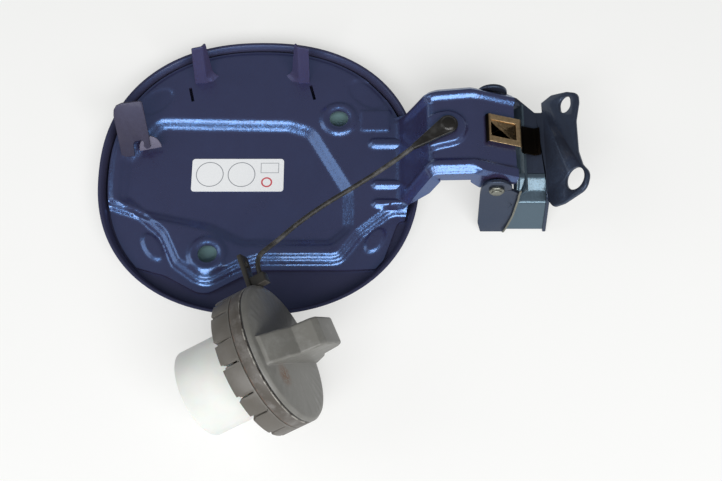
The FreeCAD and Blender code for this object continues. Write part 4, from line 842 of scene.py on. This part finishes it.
class FLAP_OT_posts(bpy.types.Operator):
    """Fold the two leaning posts that hold the cap, and the latch striker with its lug"""

    bl_idname = "flap.posts"
    bl_label = "Posts and striker"

    def fold_posts(self):
        """Fold each post from a strip: a flat leaf, and a wing that turns back and tapers upward."""
        lean = math.radians(POST_LEAN)
        for side, name in ((1, "post_left"), (-1, "post_right")):

            def place(u, v):
                run = (u - 0.42) * POST_WIDTH
                wing = max(run, 0.0) * (1.0 - 0.55 * v)
                fold = min(wing, 0.8) * 0.4
                across = min(run, 0.0) + wing * 0.62 + fold
                away = wing * 0.74 - fold
                # The wing spreads where it runs into the panel.
                if v < 0.2 and run > 1.0:
                    across += (0.2 - v) ** 2 * 90.0
                up = POST_HEIGHT * v - max(-run, 0.0) * 0.25 * v
                x = POST_MIDDLE - side * POST_HALF_SPACING + side * across
                return at(x, POST_FOOT[0] + away + up * math.sin(lean), POST_FOOT[1] + up * math.cos(lean))

            piece = mapped_sheet(name, 14, 18, place, FOLD_SHEET * MM * side, 0.3 * MM)
            place_on(piece, "flap", "post", "inner_panel", slot="navy_paint")

    def execute(self, context):
        self.fold_posts()
        half, reach = STRIKER_WIDTH / 2, STRIKER_REACH
        striker = [(-half, -1.5), (-1.0, -1.5), (-0.6, 5.2), (0.6, 6.6), (3.6, 6.8), (4.8, 5.4), (4.4, 3.0),
                   (5.6, 1.4), (half, 2.2), (half + 0.3, 10.0), (half, reach - 1.0), (half - 1.0, reach),
                   (-half + 5.0, reach), (-half + 2.2, reach - 1.0), (-half + 0.6, reach - 3.2),
                   (-half, reach - 6.0)]
        lug = [(LUG_HALF_WIDTH * math.cos(a), LUG_REACH * math.sin(a)) for a in np.linspace(0, math.pi, 18)]
        for name, finish, outline, foot, (turn, lean) in (
                ("latch_striker", "striker", striker, STRIKER_FOOT, STRIKER_TURN),
                ("latch_lug", "lug", lug, LUG_FOOT, LUG_TURN)):
            turned = Matrix.Rotation(math.radians(turn), 4, "Z") @ Matrix.Rotation(math.radians(lean), 4, "X")
            plate = cut_plate(name, outline, FOLD_SHEET * MM, Matrix.Translation(at(*foot)) @ turned,
                              sizes().edge_round)
            place_on(plate, "flap", finish, "inner_panel", slot="navy_paint")
        return {"FINISHED"}


class FLAP_OT_skin(bpy.types.Operator):
    """Round the edges of the painted outer skin"""

    bl_idname = "flap.skin"
    bl_label = "Outer skin"

    def execute(self, context):
        merged_copy("outer_skin", "painted", "flap", "skin", 0.45, 38.0, 3, slot="navy_paint")
        return {"FINISHED"}


class FLAP_OT_hinge(bpy.types.Operator):
    """Finish the hinge bracket, its pin and the leaf spring"""

    bl_idname = "flap.hinge"
    bl_label = "Hinge"

    def press_walls(self):
        """Press the bracket's near wall, its trough round the pin and a thin bright zinc strip along the
        wall's edge.
        """
        line, _ = bent_line(WALL_LINE, WALL_BENDS, 61)
        starts, heights = zip(*reversed(EAR_EDGE))
        pin = (Vector(JOINTS["hinge"]["pos_m"]) - FLAP) / MM

        def near_wall(u, v):
            y, z = line[min(int(round(v * 60)), 60)]
            start = float(np.interp(z, heights, starts)) - 0.4
            lip = 0.8 * float(rise((0.12 - u) / 0.1))
            return at(start + (WALL_END - start) * u, y - lip, z + lip * 0.4)

        def trough(u, v):
            angle = math.radians(-20.0 - 32.0 * v)
            return at(pin.x + TROUGH_RADIUS * math.cos(angle), TROUGH_NEAR + TROUGH_LENGTH * u,
                      pin.z + TROUGH_RADIUS * math.sin(angle))

        def edge_strip(u, v):
            z = 27.4 - 27.0 * v
            x = float(np.interp(z, heights, starts)) + (u - 0.5) * 0.9
            return at(x, -19.3 - 9.5 * max(FLOOR_LEVEL - z, 0.0) / FLOOR_LEVEL, z)

        # The wall and trough take the grey-blue paint, a painted reflection; the edge strip is plated zinc.
        for name, columns, rows, place, sheet, rounding, finish, slot in (
                ("bracket_wall_pressed", 40, 60, near_wall, -WALL_SHEET, 0.3, "cover", "navy_paint"),
                ("bracket_trough", 24, 12, trough, 1.2, 0.2, "cover", "navy_paint"),
                ("bracket_edge_strip", 2, 40, edge_strip, 0.5, 0.0, "zinc", "zinc")):
            piece = mapped_sheet(name, columns, rows, place, sheet * MM, rounding * MM)
            place_on(piece, "bracket", finish, "hinge_bracket", slot=slot)

    def execute(self, context):
        # The solid's own near wall is cut away, and the pressed one takes its place.
        outline = EAR_EDGE + [(WALL_CUT, -2.0), (WALL_CUT, 31.0)]
        upright = Matrix.Translation(at(0.0, -27.0)) @ Matrix.Rotation(math.pi / 2, 4, "X")
        cutter = cut_plate("wall_cutter", outline, 38.0 * MM, upright, 0.0)
        # The bracket takes the nearly black paint, a painted shade.
        merged_copy("hinge_bracket", "painted", "bracket", "bracket", sizes().edge_round / MM, 40.0,
                    cutter=cutter, slot="navy_paint")
        self.press_walls()
        merged_copy("hinge_pin", "plated", "bracket", "zinc", 0.2, 30.0)
        merged_copy("pin_retainer", "plated", "bracket", "zinc", 0.15, 30.0)
        window = block(WINDOW_SIZE, WINDOW_MIDDLE)
        merged_copy("leaf_spring", "plated", "flap", "yellow", 0.15, 40.0, cutter=window)
        return {"FINISHED"}


class FLAP_OT_label(bpy.types.Operator):
    """Print the label, and give the mastic pads under the panel their finish"""

    bl_idname = "flap.label"
    bl_label = "Label"

    def execute(self, context):
        finish_node("label_plate", "label")
        finish_node("mastic_pads", "mastic")
        return {"FINISHED"}


class FLAP_OT_tether(bpy.types.Operator):
    """Lay the tether from its anchor on the gooseneck to the ring on the cap"""

    bl_idname = "flap.tether"
    bl_label = "Tether"

    def execute(self, context):
        line = bpy.data.curves.new("tether_line", "CURVE")
        line.dimensions = "3D"
        spline = line.splines.new("NURBS")
        spline.points.add(len(TETHER_ROUTE) - 1)
        for point, spot in zip(spline.points, TETHER_ROUTE):
            point.co = (*at(*spot), 1.0)
        spline.order_u = 3
        spline.use_endpoint_u = True
        spline.resolution_u = 16
        line.bevel_depth = sizes().tether_diameter / 2
        line.bevel_resolution = 6
        line.use_fill_caps = True
        cord = bpy.data.objects.new("tether_cord_line", line)
        context.collection.objects.link(cord)
        place_on(cord, "flap", "tether", "tether_cord")
        merged_copy("tether_anchor", "moulded", "flap", "plug", 0.5, 40.0, 3)
        merged_copy("tether_ring", "moulded", "flap", "ring", 0.3, 40.0)
        return {"FINISHED"}


class FLAP_OT_cap(bpy.types.Operator):
    """Finish the cap: black cover with its grip bar, white stem and what they hold"""

    bl_idname = "flap.cap"
    bl_label = "Cap"

    def execute(self, context):
        merged_copy("cap_cover", "moulded", "grip", "cap", 0.3, 30.0)
        merged_copy("cap_stem", "moulded", "stem", "stem", 0.3, 40.0)
        coil = merged_copy("vent_spring", "coiled", "stem", "wire", 0.0)
        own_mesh(coil)
        for node, finish in (("stem_seal", "seal"), ("stem_closure", "stem"), ("vent_valve", "stem"),
                             ("vent_valve_seal", "seal"), ("ratchet_ring", "cap")):
            finish_node(node, finish)
        return {"FINISHED"}


class FLAP_OT_stage(bpy.types.Operator):
    """Set the pale table, the soft lights and the camera"""

    bl_idname = "flap.stage"
    bl_label = "Stage"

    def lay_table(self, context):
        """Matt white board: faintly uneven white that keeps the part's soft shadows."""
        bpy.ops.mesh.primitive_plane_add(size=6.0, location=(0, 0, -0.2 * MM))
        table = context.object
        table.name = "table_top"
        top, tree, output, place = new_material("matt_white_board")
        # The unevenness is about 125 mm across.
        cloud = add(tree, "TexNoise", {"Scale": 1 / (125 * MM), "Detail": 3.0}, {"Vector": place})
        ramp = add(tree, "ValToRGB", None, {"Fac": cloud})
        low, high = ramp.color_ramp.elements
        low.color = tint("#F1F1F1")
        high.color = tint(finishes().floor_white)
        shader = add(tree, "BsdfDiffuse", None, {"Color": ramp})
        # Part of the board's light is its own where it is seen or mirrored, so it is white round the shadows.
        glow = add(tree, "Emission", {"Color": tint("#FAFAF7"), "Strength": 1.0})
        path = add(tree, "LightPath")
        seen = path.outputs["Is Camera Ray"]
        for kind in ("Is Glossy Ray", "Is Transmission Ray"):
            seen = add(tree, "Math", None, {0: seen, 1: path.outputs[kind]}, operation="MAXIMUM")
        share = add(tree, "Math", {1: TABLE_GLOW}, {0: seen}, operation="MULTIPLY")
        both = add(tree, "MixShader", None, {0: share, 1: shader, 2: glow})
        tree.links.new(both.outputs[0], output)
        table.data.materials.append(top)

    def execute(self, context):
        scene = context.scene
        scene.view_settings.view_transform = "Standard"
        self.lay_table(context)
        world = bpy.data.worlds.new("soft_room")
        scene.world = world
        world.use_nodes = True
        background = world.node_tree.nodes["Background"].inputs
        background["Color"].default_value = (0.93, 0.96, 1.0, 1.0)
        background["Strength"].default_value = ROOM_LIGHT
        aim = at(*CAMERA_AIM)
        for name, offset, size, power in LAMPS:
            bpy.ops.object.light_add(type="AREA", location=aim + Vector(offset))
            lamp = context.object
            lamp.name = name + "_lamp"
            lamp.data.shape = "RECTANGLE"
            lamp.data.size, lamp.data.size_y = size
            lamp.data.energy = power
            lamp.rotation_euler = (-Vector(offset)).to_track_quat("-Z", "Y").to_euler()
        bpy.ops.object.camera_add()
        camera = context.object
        camera.name = "photo_camera"
        camera.location = at(*CAMERA_SPOT)
        camera.rotation_euler = (aim - camera.location).to_track_quat("-Z", "Y").to_euler()
        camera.data.lens = CAMERA_LENS
        camera.data.sensor_width = 36.0
        camera.data.clip_start, camera.data.clip_end = 0.01, 20.0
        scene.camera = camera
        return {"FINISHED"}


class FLAP_PT_pieces(bpy.types.Panel):
    """Lists the pieces in the order they are made"""

    bl_label = "Fuel filler flap"
    bl_idname = "FLAP_PT_pieces"
    bl_space_type = "VIEW_3D"
    bl_region_type = "UI"
    bl_category = "Flap"

    def draw(self, context):
        for name in STEPS:
            self.layout.operator("flap." + name)
        for group in (context.scene.flap_sizes, context.scene.flap_finishes):
            for key in group.__annotations__:
                self.layout.prop(group, key)


STEPS = ["stage", "tether", "skin", "panel", "gooseneck", "posts", "hinge", "label", "cap"]
CLASSES = [FlapSizes, FlapFinishes, FLAP_OT_stage, FLAP_OT_tether, FLAP_OT_skin, FLAP_OT_panel,
           FLAP_OT_gooseneck, FLAP_OT_posts, FLAP_OT_hinge, FLAP_OT_label, FLAP_OT_cap, FLAP_PT_pieces]


def register():
    """Add the classes and the sidebar's values."""
    for item in CLASSES:
        bpy.utils.register_class(item)
    bpy.types.Scene.flap_sizes = PointerProperty(type=FlapSizes)
    bpy.types.Scene.flap_finishes = PointerProperty(type=FlapFinishes)


def unregister():
    """Take the classes and the sidebar's values away again."""
    del bpy.types.Scene.flap_sizes
    del bpy.types.Scene.flap_finishes
    for item in reversed(CLASSES):
        bpy.utils.unregister_class(item)


def main():
    """Make every piece in order."""
    register()
    for name in STEPS:
        getattr(bpy.ops.flap, name)()


if __name__ == "__main__":
    main()
